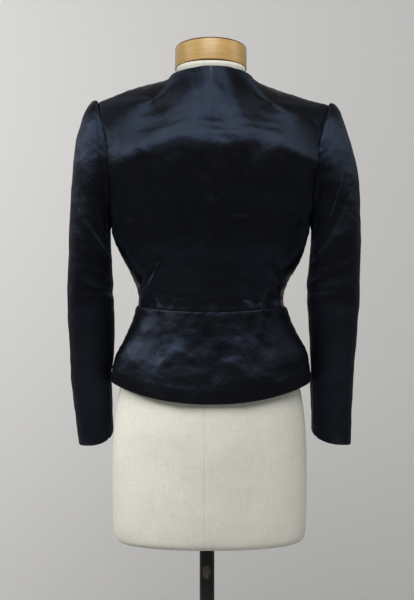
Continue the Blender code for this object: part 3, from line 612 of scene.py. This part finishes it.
def ease_underarm(grid, row):
    """Smooth the cloth up and down where the yoke takes over, but leave the sewn edges alone."""
    last = len(grid[0]) - 1
    for _ in range(UNDERARM_PASSES):
        for i in range(row - UNDERARM_ROWS, row + UNDERARM_ROWS + 1):
            hold = 1.0 - abs(i - row) / (UNDERARM_ROWS + 1.0)
            for j in range(last):
                share = 0.5 * hold * ease(0.0, ARMHOLE_COLUMNS, last - j)
                even = (grid[i - 1][j] + grid[i + 1][j]) / 2.0
                grid[i][j] = grid[i][j].lerp(even, share)


def ease_yoke(grid, row, back):
    """Smooth the cloth between the neck, the shoulder and the underarm; its edges stay as cut."""
    last = len(grid[0]) - 1
    top = len(grid) - 1
    for _ in range(YOKE_PASSES):
        before = [[point.copy() for point in line] for line in grid]
        for i in range(row, top):
            hold = 0.5 * ease(0.0, YOKE_EDGE_ROWS, top - i)
            line = before[i]
            for j in range(0 if back else 1, last):
                share = hold * ease(0.0, ARMHOLE_COLUMNS, last - j)
                far = line[j - 1] if j > 0 else Vector((2.0 * line[0].x - line[1].x, line[1].y, line[1].z))
                even = (before[i - 1][j] + before[i + 1][j] + line[j + 1] + far) / 4.0
                grid[i][j] = line[j].lerp(even, share)


def nearness(distance, reach):
    """1 at a sewn edge, fading away over the reach."""
    return math.exp(-((distance / reach) ** 2))


def ripple(ripples, along):
    return sum(strength * math.sin(along * rate + start) for rate, strength, start in ripples)


def sewn_height(kind, distance, along):
    """What sewing does to the cloth: a seam sinks and puckers, a turned edge stands up a little."""
    if kind in WAIST_RISE:
        rise = WAIST_RISE[kind] * nearness(distance, WAIST_REACH)
        rise -= WAIST_DIP * nearness(distance, PRESSED_ROLL)
        return rise + WAIST_PUCKER * ripple(WAIST_RIPPLES, along) * nearness(distance, PUCKER_REACH)
    if kind == "pressed":
        return -PRESSED_DIP * nearness(distance, PRESSED_ROLL)
    if kind == "seam":
        puckers = PUCKER * ripple(SEAM_RIPPLES, along) * nearness(distance, PUCKER_REACH)
        return puckers * ease(0.0, SEAM_FLAT, distance) - SEAM_DIP * nearness(distance, SEAM_ROLL)
    depth = TURNED[kind]
    turned = TURNED_RISE * (1.0 - ease(depth - TURNED_FADE, depth + TURNED_FADE, distance))
    stitched = turned - STITCH_DIP * nearness(distance - depth, STITCH_WIDTH)
    return stitched - EDGE_ROLL * nearness(distance, EDGE_WIDTH)


def lift_cloth(grid, directions, heights, kinds):
    """Raise every point by its folds and by the sewing of the four edges: low, high, first, last."""
    rows = [lengths_along(line) for line in grid]
    columns = [lengths_along([line[j] for line in grid]) for j in range(len(grid[0]))]
    low, high, first, last = kinds
    for i, line in enumerate(grid):
        for j, point in enumerate(line):
            across = rows[i][j]
            upward = columns[j][i]
            high_kind = high[j] if isinstance(high, list) else high
            height = heights[i][j] + rumpled(point)
            height += sewn_height(low, upward, across)
            height += sewn_height(high_kind, columns[j][-1] - upward, across)
            height += sewn_height(first, across, upward)
            height += sewn_height(last, rows[i][-1] - across, upward)
            point += directions[i][j] * height
    return rows, columns


def put_in_scene(name, data):
    """A new object in the scene, made of a mesh, a camera or a lamp."""
    thing = bpy.data.objects.new(name, data)
    bpy.context.scene.collection.objects.link(thing)
    return thing


def sew_shell(name, grid, directions, heights, kinds, finish):
    """A closed thin shell: outer skin, inner skin and cut edges, with its weave laid out in metres."""
    across, upward = lift_cloth(grid, directions, heights, kinds)
    rows = len(grid)
    columns = len(grid[0])
    outer = [point for row in grid for point in row]
    inner = []
    for row, line in zip(grid, directions):
        inner += [point - direction * SILK_THICK for point, direction in zip(row, line)]
    back = rows * columns
    faces = []
    for i in range(rows - 1):
        for j in range(columns - 1):
            a = i * columns + j
            b = a + 1
            c = b + columns
            d = a + columns
            faces.append((a, b, c, d))
            faces.append((back + d, back + c, back + b, back + a))
    bottom = list(range(columns))
    right = [i * columns + columns - 1 for i in range(rows)]
    top = [(rows - 1) * columns + j for j in reversed(range(columns))]
    left = [i * columns for i in reversed(range(rows))]
    rim = bottom + right[1:] + top[1:] + left[1:-1]
    for a, b in zip(rim, rim[1:] + rim[:1]):
        faces.append((b, a, back + a, back + b))
    mesh = bpy.data.meshes.new(name)
    mesh.from_pydata([tuple(v) for v in outer + inner], [], faces)
    weave = mesh.uv_layers.new(name="weave")
    for loop in mesh.loops:
        cell = loop.vertex_index % back
        i = cell // columns
        j = cell % columns
        weave.data[loop.index].uv = (across[i][j], upward[j][i])
    shell = bmesh.new()
    shell.from_mesh(mesh)
    bmesh.ops.recalc_face_normals(shell, faces=shell.faces)
    shell.to_mesh(mesh)
    shell.free()
    mesh.materials.append(finish)
    mesh.shade_smooth()
    mesh.set_sharp_from_angle(angle=CLOTH_EDGE_ANGLE)
    return put_in_scene(name, mesh)


def cut_and_sew(piece, node):
    """Hang the piece on the frame's root, which holds it up, and hide the node it stands for."""
    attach(piece, "root")
    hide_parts(node)


def bodice_piece(facing, side, finish):
    folds = BACK_FOLDS if facing == "back" else FRONT_FOLDS
    grid = []
    heights = []
    all_rows = LOWER_STEPS + ARMHOLE_STEPS
    for i in range(BODICE_ROWS + 1):
        row = all_rows * i / BODICE_ROWS
        start = bodice_start(row, facing)
        line = []
        lifts = []
        for j in range(BODICE_COLUMNS + 1):
            share = mix(start, 1.0, j / BODICE_COLUMNS)
            point = bodice_point(row, share, facing, side)
            if facing == "back" and j == 0:
                point.x = SEAM_GAP / 2.0
            on_side_seam = row <= LOWER_STEPS and j == BODICE_COLUMNS
            on_shoulder = i == BODICE_ROWS and share >= NECK_SHARE
            if on_side_seam or on_shoulder:
                point.y += OUT_Y[facing] * SEAM_GAP / 2.0
            folded = fold_height(folds, OUT_X[side] * point.x, point.z)
            lifts.append(folded + lap_lift(point.x, facing, side))
            line.append(to_world(point, side))
        grid.append(line)
        heights.append(lifts)
    underarm = int(BODICE_ROWS * LOWER_STEPS / all_rows)
    ease_underarm(grid, underarm)
    ease_yoke(grid, underarm, facing == "back")
    directions = cloth_directions(grid, from_the_axis)
    if facing == "back":
        square_to_seam(directions, [(i, 0) for i in range(BODICE_ROWS + 1)], Vector((1, 0, 0)))
    square_to_seam(directions, [(i, BODICE_COLUMNS) for i in range(underarm + 1)], Vector((0, 1, 0)))
    start = bodice_start(all_rows, facing)
    neck_columns = math.ceil((NECK_SHARE - start) / (1.0 - start) * BODICE_COLUMNS)
    shoulder = [(BODICE_ROWS, j) for j in range(neck_columns, BODICE_COLUMNS + 1)]
    square_to_seam(directions, shoulder, Vector((0, 1, 0)))
    square_to_seam(directions, [(0, j) for j in range(BODICE_COLUMNS + 1)], Vector((0, 0, 1)))
    top = ["faced" if j < neck_columns else "seam" for j in range(BODICE_COLUMNS + 1)]
    middle = "pressed" if facing == "back" else "faced"
    kinds = ("bodice waist", top, middle, "seam")
    piece = sew_shell(f"silk_{facing}_{side}", grid, directions, heights, kinds, finish)
    cut_and_sew(piece, f"{facing}_{side}")


def peplum_line(row, facing, side):
    hoop = along_rows(PEPLUM_HOOPS, row / PEPLUM_ROWS * (len(PEPLUM_HOOPS) - 1))
    start = 0.0 if facing == "back" else lap_share(hoop.half_width)
    line = []
    lifts = []
    for j in range(PEPLUM_COLUMNS + 1):
        share = mix(start, 1.0, j / PEPLUM_COLUMNS)
        point = hoop_point(hoop, abs(share), facing, side)
        if share < 0.0:
            point.x = -point.x
        folded = fold_height(PEPLUM_FOLDS, OUT_X[side] * point.x, point.z)
        lifts.append(folded + lap_lift(point.x, facing, side))
        if j == PEPLUM_COLUMNS:
            point.y += OUT_Y[facing] * SEAM_GAP / 2.0
        line.append(to_world(point, side))
    return line, lifts


def peplum_piece(facing, side, finish):
    """A front peplum on one side, or the whole back peplum from side seam to side seam."""
    grid = []
    heights = []
    for i in range(PEPLUM_ROWS + 1):
        line, lifts = peplum_line(i, facing, side)
        if facing == "back":
            left_line, left_lifts = peplum_line(i, facing, "left")
            line = list(reversed(left_line)) + line[1:]
            lifts = list(reversed(left_lifts)) + lifts[1:]
        grid.append(line)
        heights.append(lifts)
    directions = cloth_directions(grid, from_the_axis)
    last = len(grid[0]) - 1
    seams = (0, last) if facing == "back" else (last,)
    for column in seams:
        square_to_seam(directions, [(i, column) for i in range(PEPLUM_ROWS + 1)], Vector((0, 1, 0)))
    square_to_seam(directions, [(0, j) for j in range(last + 1)], Vector((0, 0, 1)))
    middle = "seam" if facing == "back" else "faced"
    name = "peplum_back" if facing == "back" else f"peplum_front_{side}"
    kinds = ("peplum waist", "hem", middle, "seam")
    piece = sew_shell(f"silk_{name}", grid, directions, heights, kinds, finish)
    cut_and_sew(piece, name)


def sleeve_point(side, place, angle):
    """Angle 0 is the outer edge, a quarter turn is the back, a half turn the underarm."""
    rings = SLEEVE_RINGS[side]
    ring = along_rows(rings, place)
    outer = Vector((ring.outer_x, ring.centre_y, ring.outer_z))
    inner = Vector((ring.inner_x, ring.centre_y, ring.inner_z))
    middle = (outer + inner) / 2.0
    reach = (outer - inner) / 2.0
    point = middle + reach * math.cos(angle)
    point.y += ring.half_depth * math.sin(angle)
    hollow = ARMHOLE_HOLLOW * max(0.0, 1.0 - place) ** 2
    point.x += SLEEVE_SET_OUT - hollow * abs(math.sin(angle)) ** 3
    last = len(rings) - 1
    cuff = ease(last - CUFF_RINGS, last, place)
    point.z += CUFF_SLANT * cuff * ((1.0 - math.cos(angle - CUFF_SLANT_TURN)) / 2.0) ** 2
    return point


def crease_height(side, place, angle):
    height = 0.0
    for crease in SLEEVE_CREASES[side]:
        turn = (math.degrees(angle) - crease.angle + 180.0) % 360.0 - 180.0
        away = (place - crease.place - crease.slant * turn / 90.0) / crease.width
        if abs(away) > FAR_AWAY:
            continue
        height += crease.depth * math.exp(-((turn / crease.spread) ** 2) - away ** 2)
    return height


def sleeve_piece(part, side, first_step, last_step, finish):
    """A strip of the sleeve between two seams, from the armhole to the cuff.

    The grid is laid out one column past each seam, so that both pieces share their directions there.
    """
    columns = (last_step - first_step) * SLEEVE_COLUMNS_A_STEP
    start = math.pi * first_step / ARMHOLE_STEPS
    stop = math.pi * last_step / ARMHOLE_STEPS
    last = len(SLEEVE_RINGS[side]) - 1
    grid = []
    heights = []
    for i in range(SLEEVE_ROWS + 1):
        place = last * i / SLEEVE_ROWS
        angles = [mix(start, stop, j / columns) for j in range(-1, columns + 2)]
        grid.append([to_world(sleeve_point(side, place, angle), side) for angle in angles])
        heights.append([crease_height(side, place, angle) for angle in angles[1:-1]])
    middle_x = OUT_X[side] * SLEEVE_MIDDLE_X + AXIS_X
    directions = cloth_directions(grid, lambda point: Vector((point.x - middle_x, point.y, 0.0)))
    for line in grid:
        for edge, way in ((1, 1.0), (columns + 1, -1.0)):
            along = (line[edge + 1] - line[edge - 1]).normalized()
            line[edge] = line[edge] + along * (way * SEAM_GAP / 2.0)
    grid = [line[1:-1] for line in grid]
    directions = [line[1:-1] for line in directions]
    kinds = ("seam", "hem", "seam", "seam")
    piece = sew_shell(f"silk_sleeve_{part}_{side}", grid, directions, heights, kinds, finish)
    cut_and_sew(piece, f"sleeve_{part}_{side}")


def paint(hex_colour):
    """A colour given as #RRGGBB, as Blender's linear red, green, blue and alpha."""
    values = []
    for k in (1, 3, 5):
        value = int(hex_colour[k:k + 2], 16) / 255.0
        values.append(value / 12.92 if value <= 0.04045 else ((value + 0.055) / 1.055) ** 2.4)
    return (*values, 1.0)


def scale_for(size):
    """A pattern's scale from the size of its marks in millimetres, or from three sizes, one an axis."""
    if isinstance(size, tuple):
        return [scale_for(part) for part in size]
    return 1000.0 / size


def set_inputs(finish, node, inputs):
    """Set each input of a node, or link it where the value is another node's socket."""
    for name, value in inputs.items():
        socket = node.inputs[name]
        if isinstance(value, bpy.types.NodeSocket):
            finish.node_tree.links.new(value, socket)
        else:
            socket.default_value = value


def add_node(finish, kind, inputs=None, output=0, stops=(), **settings):
    """Add a node with its settings, inputs and links, and hand on one of its outputs.

    A ramp also has stops: pairs of a place and a colour, or a share of full brightness.
    """
    node = finish.node_tree.nodes.new("ShaderNode" + kind)
    for name, value in settings.items():
        setattr(node, name, value)
    for _ in stops[2:]:
        node.color_ramp.elements.new(0.5)
    for number, (place, colour) in enumerate(stops):
        element = node.color_ramp.elements[number]
        element.position = place
        element.color = paint(colour) if isinstance(colour, str) else (colour, colour, colour, 1.0)
    set_inputs(finish, node, inputs or {})
    return node.outputs[output]


def long_marks(finish, place, sizes, **more):
    """Uneven marks drawn out to a size along each axis, such as threads or grain."""
    drawn_out = add_node(finish, "Mapping", {"Vector": place, "Scale": scale_for(sizes)})
    return add_node(finish, "TexNoise", {"Vector": drawn_out, "Scale": 1.0, **more})


def new_finish(name):
    finish = bpy.data.materials.new(name)
    finish.use_nodes = True
    return finish, finish.node_tree.nodes["Principled BSDF"]


def silk_satin():
    """Navy silk in a satin weave: long threads lying one way, with a soft and uneven bluish sheen.

    Threads and slubs are too fine to show in life, so they are drawn coarser.
    """
    finish, shader = new_finish("navy silk satin")
    weave = add_node(finish, "UVMap", uv_map="weave")
    place = add_node(finish, "TexCoord", output="Object")
    cloud = add_node(finish, "TexNoise", {
        "Vector": place, "Scale": scale_for(SATIN_CLOUD), "Detail": 3.0, "Roughness": 0.55,
    })
    dye = add_node(finish, "ValToRGB", {"Fac": cloud}, stops=[(0.30, "#080605"), (0.70, "#0D0B08")])
    rumple = add_node(finish, "TexNoise", {"Vector": place, "Scale": scale_for(SATIN_RUMPLE), "Detail": 3.0})
    gloss = add_node(finish, "MapRange", {"Value": rumple, "To Min": 0.46, "To Max": 0.60})
    slub = long_marks(finish, weave, SATIN_SLUB, Detail=3.0)
    thread = long_marks(finish, weave, SATIN_THREAD, Detail=4.0)
    rumples = add_node(finish, "Bump", {"Height": rumple, "Strength": 1.0, "Distance": 0.0015})
    slubs = add_node(finish, "Bump", {
        "Height": slub, "Strength": 0.25, "Distance": 0.0002, "Normal": rumples,
    })
    threads = add_node(finish, "Bump", {
        "Height": thread, "Strength": 0.30, "Distance": 0.0001, "Normal": slubs,
    })
    set_inputs(finish, shader, {
        "Base Color": dye,
        "Roughness": gloss,
        "Normal": threads,
        "Specular IOR Level": 0.43,
        "Specular Tint": paint("#A6C4F6"),
        "Anisotropic": 0.84,
        "Sheen Weight": 0.006,
        "Sheen Roughness": 0.40,
        "Sheen Tint": paint("#93A5C2"),
    })
    return finish


def form_linen():
    """Plain-woven linen glued over the form: matt off-white, faintly soiled, joined down the middle.

    Its threads are too fine to show in life, so they are drawn coarser.
    """
    finish, shader = new_finish("cream linen")
    place = add_node(finish, "TexCoord", output="Object")
    soil = add_node(finish, "TexNoise", {
        "Vector": place, "Scale": scale_for(LINEN_SOIL), "Detail": 5.0, "Roughness": 0.6,
    })
    creams = [(0.30, "#D1D0C3"), (0.55, "#D9D8CC"), (0.80, "#DEDDD2")]
    cloth = add_node(finish, "ValToRGB", {"Fac": soil}, stops=creams)
    weft = long_marks(finish, place, LINEN_WEFT, Detail=3.0)
    warp = long_marks(finish, place, LINEN_WARP, Detail=3.0)
    cross = add_node(finish, "Math", {0: weft, 1: warp}, operation="ADD")
    threads = add_node(finish, "ValToRGB", {"Fac": cross}, stops=[(0.75, 0.90), (1.0, 1.0), (1.0, 1.0)])
    woven = {"Factor": 1.0, UNDER: cloth, OVER: threads}
    fabric = add_node(finish, "Mix", woven, blend_type="MULTIPLY", **COLOUR_MIX)

    across = add_node(finish, "SeparateXYZ", {"Vector": place}, output="X")
    from_join = add_node(finish, "Math", {0: across, 1: JOIN_X}, operation="SUBTRACT")
    apart = add_node(finish, "Math", {0: from_join}, operation="ABSOLUTE")
    join = add_node(finish, "MapRange", {
        "Value": apart, "From Min": JOIN_HALF_WIDTH, "From Max": JOIN_FADE, "To Min": 0.90, "To Max": 1.0,
    })
    marked = {"Factor": 1.0, UNDER: fabric, OVER: join}
    weave = add_node(finish, "Bump", {"Height": cross, "Strength": 0.5, "Distance": 0.0004})
    lump = add_node(finish, "TexNoise", {"Vector": place, "Scale": scale_for(LINEN_LUMP), "Detail": 4.0})
    padding = {"Height": lump, "Strength": 0.5, "Distance": 0.0050, "Normal": weave}
    set_inputs(finish, shader, {
        "Base Color": add_node(finish, "Mix", marked, blend_type="MULTIPLY", **COLOUR_MIX),
        "Normal": add_node(finish, "Bump", padding),
        "Roughness": 0.85,
    })
    return finish


def turned_maple():
    """Maple turned and varnished: a long warm grain, a quiet gloss, and painted shade in a dark line round
    each rim.
    """
    finish, shader = new_finish("varnished maple")
    place = add_node(finish, "TexCoord", output="Object")
    from_base = add_node(finish, "Mapping", {
        "Vector": place, "Location": (-AXIS_X, -NECK_CENTRE_Y, -BLOCK_BASE_Z),
    })
    upright = add_node(finish, "Mapping", {"Vector": from_base, "Rotation": (-NECK_LEAN, 0.0, 0.0)})
    grain = long_marks(finish, upright, MAPLE_GRAIN, Detail=6.0, Distortion=0.5)
    browns = [(0.25, "#AC884C"), (0.50, "#BA9657"), (0.75, "#C3A163")]
    wood = add_node(finish, "ValToRGB", {"Fac": grain}, stops=browns)
    height = add_node(finish, "SeparateXYZ", {"Vector": upright}, output="Z")
    level = add_node(finish, "Math", {0: height, 1: BLOCK_HEIGHT}, operation="DIVIDE")
    # Painted shade: a dark line round the bottom and top rims, standing in for the shade on the rounded
    # edges and where the block meets the linen
    low_line = [(0.010, "#8A5638"), (0.025, "#8A5638"), (0.045, 1.0)]
    high_line = [(0.905, 1.0), (0.930, "#80502F"), (1.0, "#80502F")]
    painted_rim_shade = add_node(finish, "ValToRGB", {"Fac": level}, stops=low_line + high_line)
    marked = {"Factor": 1.0, UNDER: wood, OVER: painted_rim_shade}
    set_inputs(finish, shader, {
        "Base Color": add_node(finish, "Mix", marked, blend_type="MULTIPLY", **COLOUR_MIX),
        "Roughness": 0.42,
        "Coat Weight": 0.15,
        "Coat Roughness": 0.22,
    })
    return finish


def black_enamel():
    """Black enamel brushed on steel tube: an even half gloss, with a patch near the top worn pale."""
    finish, shader = new_finish("black enamel")
    place = add_node(finish, "TexCoord", output="Object")
    scratch = add_node(finish, "TexNoise", {
        "Vector": place, "Scale": scale_for(ENAMEL_SCRATCH), "Detail": 6.0,
    })
    dark = add_node(finish, "ValToRGB", {"Fac": scratch}, stops=[(0.35, "#0C0B0B"), (0.75, "#171615")])
    streak = long_marks(finish, place, WEAR_STREAK, Detail=3.0)
    bare = add_node(finish, "ValToRGB", {"Fac": streak}, stops=[(0.30, "#4B4641"), (0.70, "#6E6861")])

    patch = add_node(finish, "Mapping", {
        "Vector": place,
        "Location": [-middle / reach for middle, reach in zip(PATCH_MIDDLE, PATCH_REACH)],
        "Scale": [1.0 / reach for reach in PATCH_REACH],
    })
    far = add_node(finish, "VectorMath", {0: patch}, output="Value", operation="LENGTH")
    chip = add_node(finish, "TexNoise", {"Vector": place, "Scale": scale_for(WEAR_CHIP), "Detail": 4.0})
    chipped = add_node(finish, "Math", {0: chip, 1: 0.55}, operation="MULTIPLY")
    ragged = add_node(finish, "Math", {0: far, 1: chipped}, operation="ADD")
    worn = add_node(finish, "MapRange", {
        "Value": ragged, "From Min": 0.92, "From Max": 1.12, "To Min": 1.0, "To Max": 0.0,
    })
    colour = add_node(finish, "Mix", {"Factor": worn, UNDER: dark, OVER: bare}, **COLOUR_MIX)
    set_inputs(finish, shader, {"Base Color": colour, "Roughness": 0.42})
    return finish


def cast_iron():
    """Sand-cast iron under black paint: matt, and rough with grit that is drawn coarser than in life."""
    finish, shader = new_finish("black cast iron")
    place = add_node(finish, "TexCoord", output="Object")
    grit = add_node(finish, "TexNoise", {"Vector": place, "Scale": scale_for(IRON_GRIT), "Detail": 4.0})
    black = add_node(finish, "ValToRGB", {"Fac": grit}, stops=[(0.30, "#161616"), (0.75, "#262524")])
    cast = add_node(finish, "Bump", {"Height": grit, "Strength": 0.4, "Distance": 0.0005})
    set_inputs(finish, shader, {"Base Color": black, "Normal": cast, "Roughness": 0.58})
    return finish


def clear_selection():
    bpy.ops.object.select_all(action="DESELECT")


def covered_form(finish):
    """The form's own solid, welded and smoothed, with the rim of its neck kept sharp."""
    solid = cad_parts["form_torso"]
    form = solid.copy()
    form.data = solid.data.copy()
    form.name = "covered_form"
    form.parent = None
    bpy.context.scene.collection.objects.link(form)
    for key in list(form.keys()):
        del form[key]
    skin = bmesh.new()
    skin.from_mesh(form.data)
    bmesh.ops.remove_doubles(skin, verts=skin.verts, dist=WELD_REACH)
    bmesh.ops.join_triangles(
        skin, faces=skin.faces, angle_face_threshold=FLAT_BEND, angle_shape_threshold=FLAT_SKEW
    )
    crease = skin.edges.layers.float.new("crease_edge")
    for edge in skin.edges:
        if min(v.co.z for v in edge.verts) > NECK_RIM_Z and edge.calc_face_angle(0.0) > RIM_BEND:
            edge[crease] = 1.0
    skin.to_mesh(form.data)
    skin.free()
    form.data.materials.clear()
    form.data.materials.append(finish)
    form.data.shade_smooth()
    rounding = form.modifiers.new("rounding", "SUBSURF")
    rounding.levels = 2
    rounding.render_levels = 2
    clear_selection()
    bpy.context.view_layer.objects.active = form
    form.select_set(True)
    bpy.ops.object.modifier_apply(modifier="rounding")
    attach(form, "root")
    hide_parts("form_torso")


def round_rims(piece, edge, segments):
    """Round the rims of a cylinder, round the faces that look straight up and down."""
    bpy.ops.object.mode_set(mode="EDIT")
    bpy.ops.mesh.select_mode(type="FACE")
    bpy.ops.mesh.select_all(action="DESELECT")
    ends = bmesh.from_edit_mesh(piece.data)
    for face in ends.faces:
        face.select_set(abs(face.normal.z) > 0.9)
    bmesh.update_edit_mesh(piece.data)
    bpy.ops.mesh.region_to_loop()
    bpy.ops.mesh.bevel(offset=edge, segments=segments)
    bpy.ops.object.mode_set(mode="OBJECT")


def stand_for(piece, node, finish, turn, place):
    """Put a piece where its node is, with its own origin left at the world's, and dress it."""
    piece.data.transform(Matrix.Translation(place) @ Matrix.Rotation(turn, 4, "X"))
    piece.data.materials.append(finish)
    piece.data.shade_smooth()
    piece.data.set_sharp_from_angle(angle=TURNED_EDGE_ANGLE)
    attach(piece, "root")
    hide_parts(node)


def turned_block(finish):
    clear_selection()
    bpy.ops.mesh.primitive_cylinder_add(vertices=96, radius=BLOCK_RADIUS, depth=BLOCK_HEIGHT)
    block = bpy.context.object
    block.name = "turned_block"
    round_rims(block, BLOCK_EDGE, 5)
    block.data.transform(Matrix.Translation((0.0, 0.0, BLOCK_HEIGHT / 2.0)))
    place = (AXIS_X, NECK_CENTRE_Y, BLOCK_BASE_Z)
    stand_for(block, "neck_block", finish, NECK_LEAN, place)


def enamelled_pole(finish):
    clear_selection()
    bpy.ops.mesh.primitive_cylinder_add(vertices=64, radius=POLE_RADIUS, depth=POLE_HEAD - POLE_FOOT)
    pole = bpy.context.object
    pole.name = "enamelled_pole"
    round_rims(pole, POLE_EDGE, 2)
    middle = (0.0, 0.0, (POLE_HEAD + POLE_FOOT) / 2.0)
    stand_for(pole, "stand_pole", finish, 0.0, middle)


def wall_paint():
    """Matt emulsion on plaster: an even pale grey with no gloss."""
    finish, shader = new_finish("pale wall")
    set_inputs(finish, shader, {"Base Color": paint("#C9C8C6"), "Roughness": 0.9})
    return finish


def place_camera():
    """The camera stands level behind the form and looks along -Y."""
    camera = put_in_scene("camera", bpy.data.cameras.new("camera"))
    camera.location = CAMERA_PLACE
    camera.rotation_euler = (math.radians(90.0), 0.0, math.radians(180.0))
    camera.data.sensor_width = 36.0
    camera.data.sensor_fit = "AUTO"
    camera.data.lens = CAMERA_LENS
    camera.data.clip_end = 20.0
    bpy.context.scene.camera = camera


def floor_and_wall(finish):
    reach = ROOM_REACH
    foot = [(-reach, WALL_Y, 0), (reach, WALL_Y, 0)]
    head = [(-reach, WALL_Y, reach), (reach, WALL_Y, reach)]
    near = [(reach, reach, 0), (-reach, reach, 0)]
    for name, corners in (("floor", foot + near), ("backdrop", [foot[0], head[0], head[1], foot[1]])):
        mesh = bpy.data.meshes.new(name)
        mesh.from_pydata(corners, [], [(0, 1, 2, 3)])
        mesh.materials.append(finish)
        plane = put_in_scene(name, mesh)


def light_room():
    """A faint even light from all round, and the lamps."""
    world = bpy.data.worlds.new("room")
    bpy.context.scene.world = world
    world.use_nodes = True
    set_inputs(world, world.node_tree.nodes["Background"], {"Color": paint("#F2F3F5"), "Strength": 0.10})
    bpy.context.scene.view_settings.view_transform = "Standard"
    for row in LAMPS:
        lamp = bpy.data.lights.new(row.name, "AREA")
        lamp.shape = "RECTANGLE"
        lamp.size = row.wide
        lamp.size_y = row.deep
        lamp.spread = math.radians(row.beam)
        lamp.energy = row.power
        light = put_in_scene(row.name, lamp)
        light.location = row.place
        light.rotation_euler = (Vector(row.aim) - Vector(row.place)).to_track_quat("-Z", "Y").to_euler()


def dress_node(name, finish):
    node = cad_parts[name]
    node.data.materials.clear()
    node.data.materials.append(finish)


silk = silk_satin()
linen = form_linen()
maple = turned_maple()
enamel = black_enamel()
iron = cast_iron()
place_camera()
floor_and_wall(wall_paint())
light_room()
for side in ("left", "right"):
    bodice_piece("back", side, silk)
    bodice_piece("front", side, silk)
    peplum_piece("front", side, silk)
    sleeve_piece("upper", side, FORE_SEAM_STEP - 2 * ARMHOLE_STEPS, HIND_SEAM_STEP, silk)
    sleeve_piece("under", side, HIND_SEAM_STEP, FORE_SEAM_STEP, silk)
peplum_piece("back", "right", silk)
covered_form(linen)
turned_block(maple)
enamelled_pole(enamel)
dress_node("stand_base", iron)
for number in range(1, 6):
    dress_node(f"button_{number}", silk)
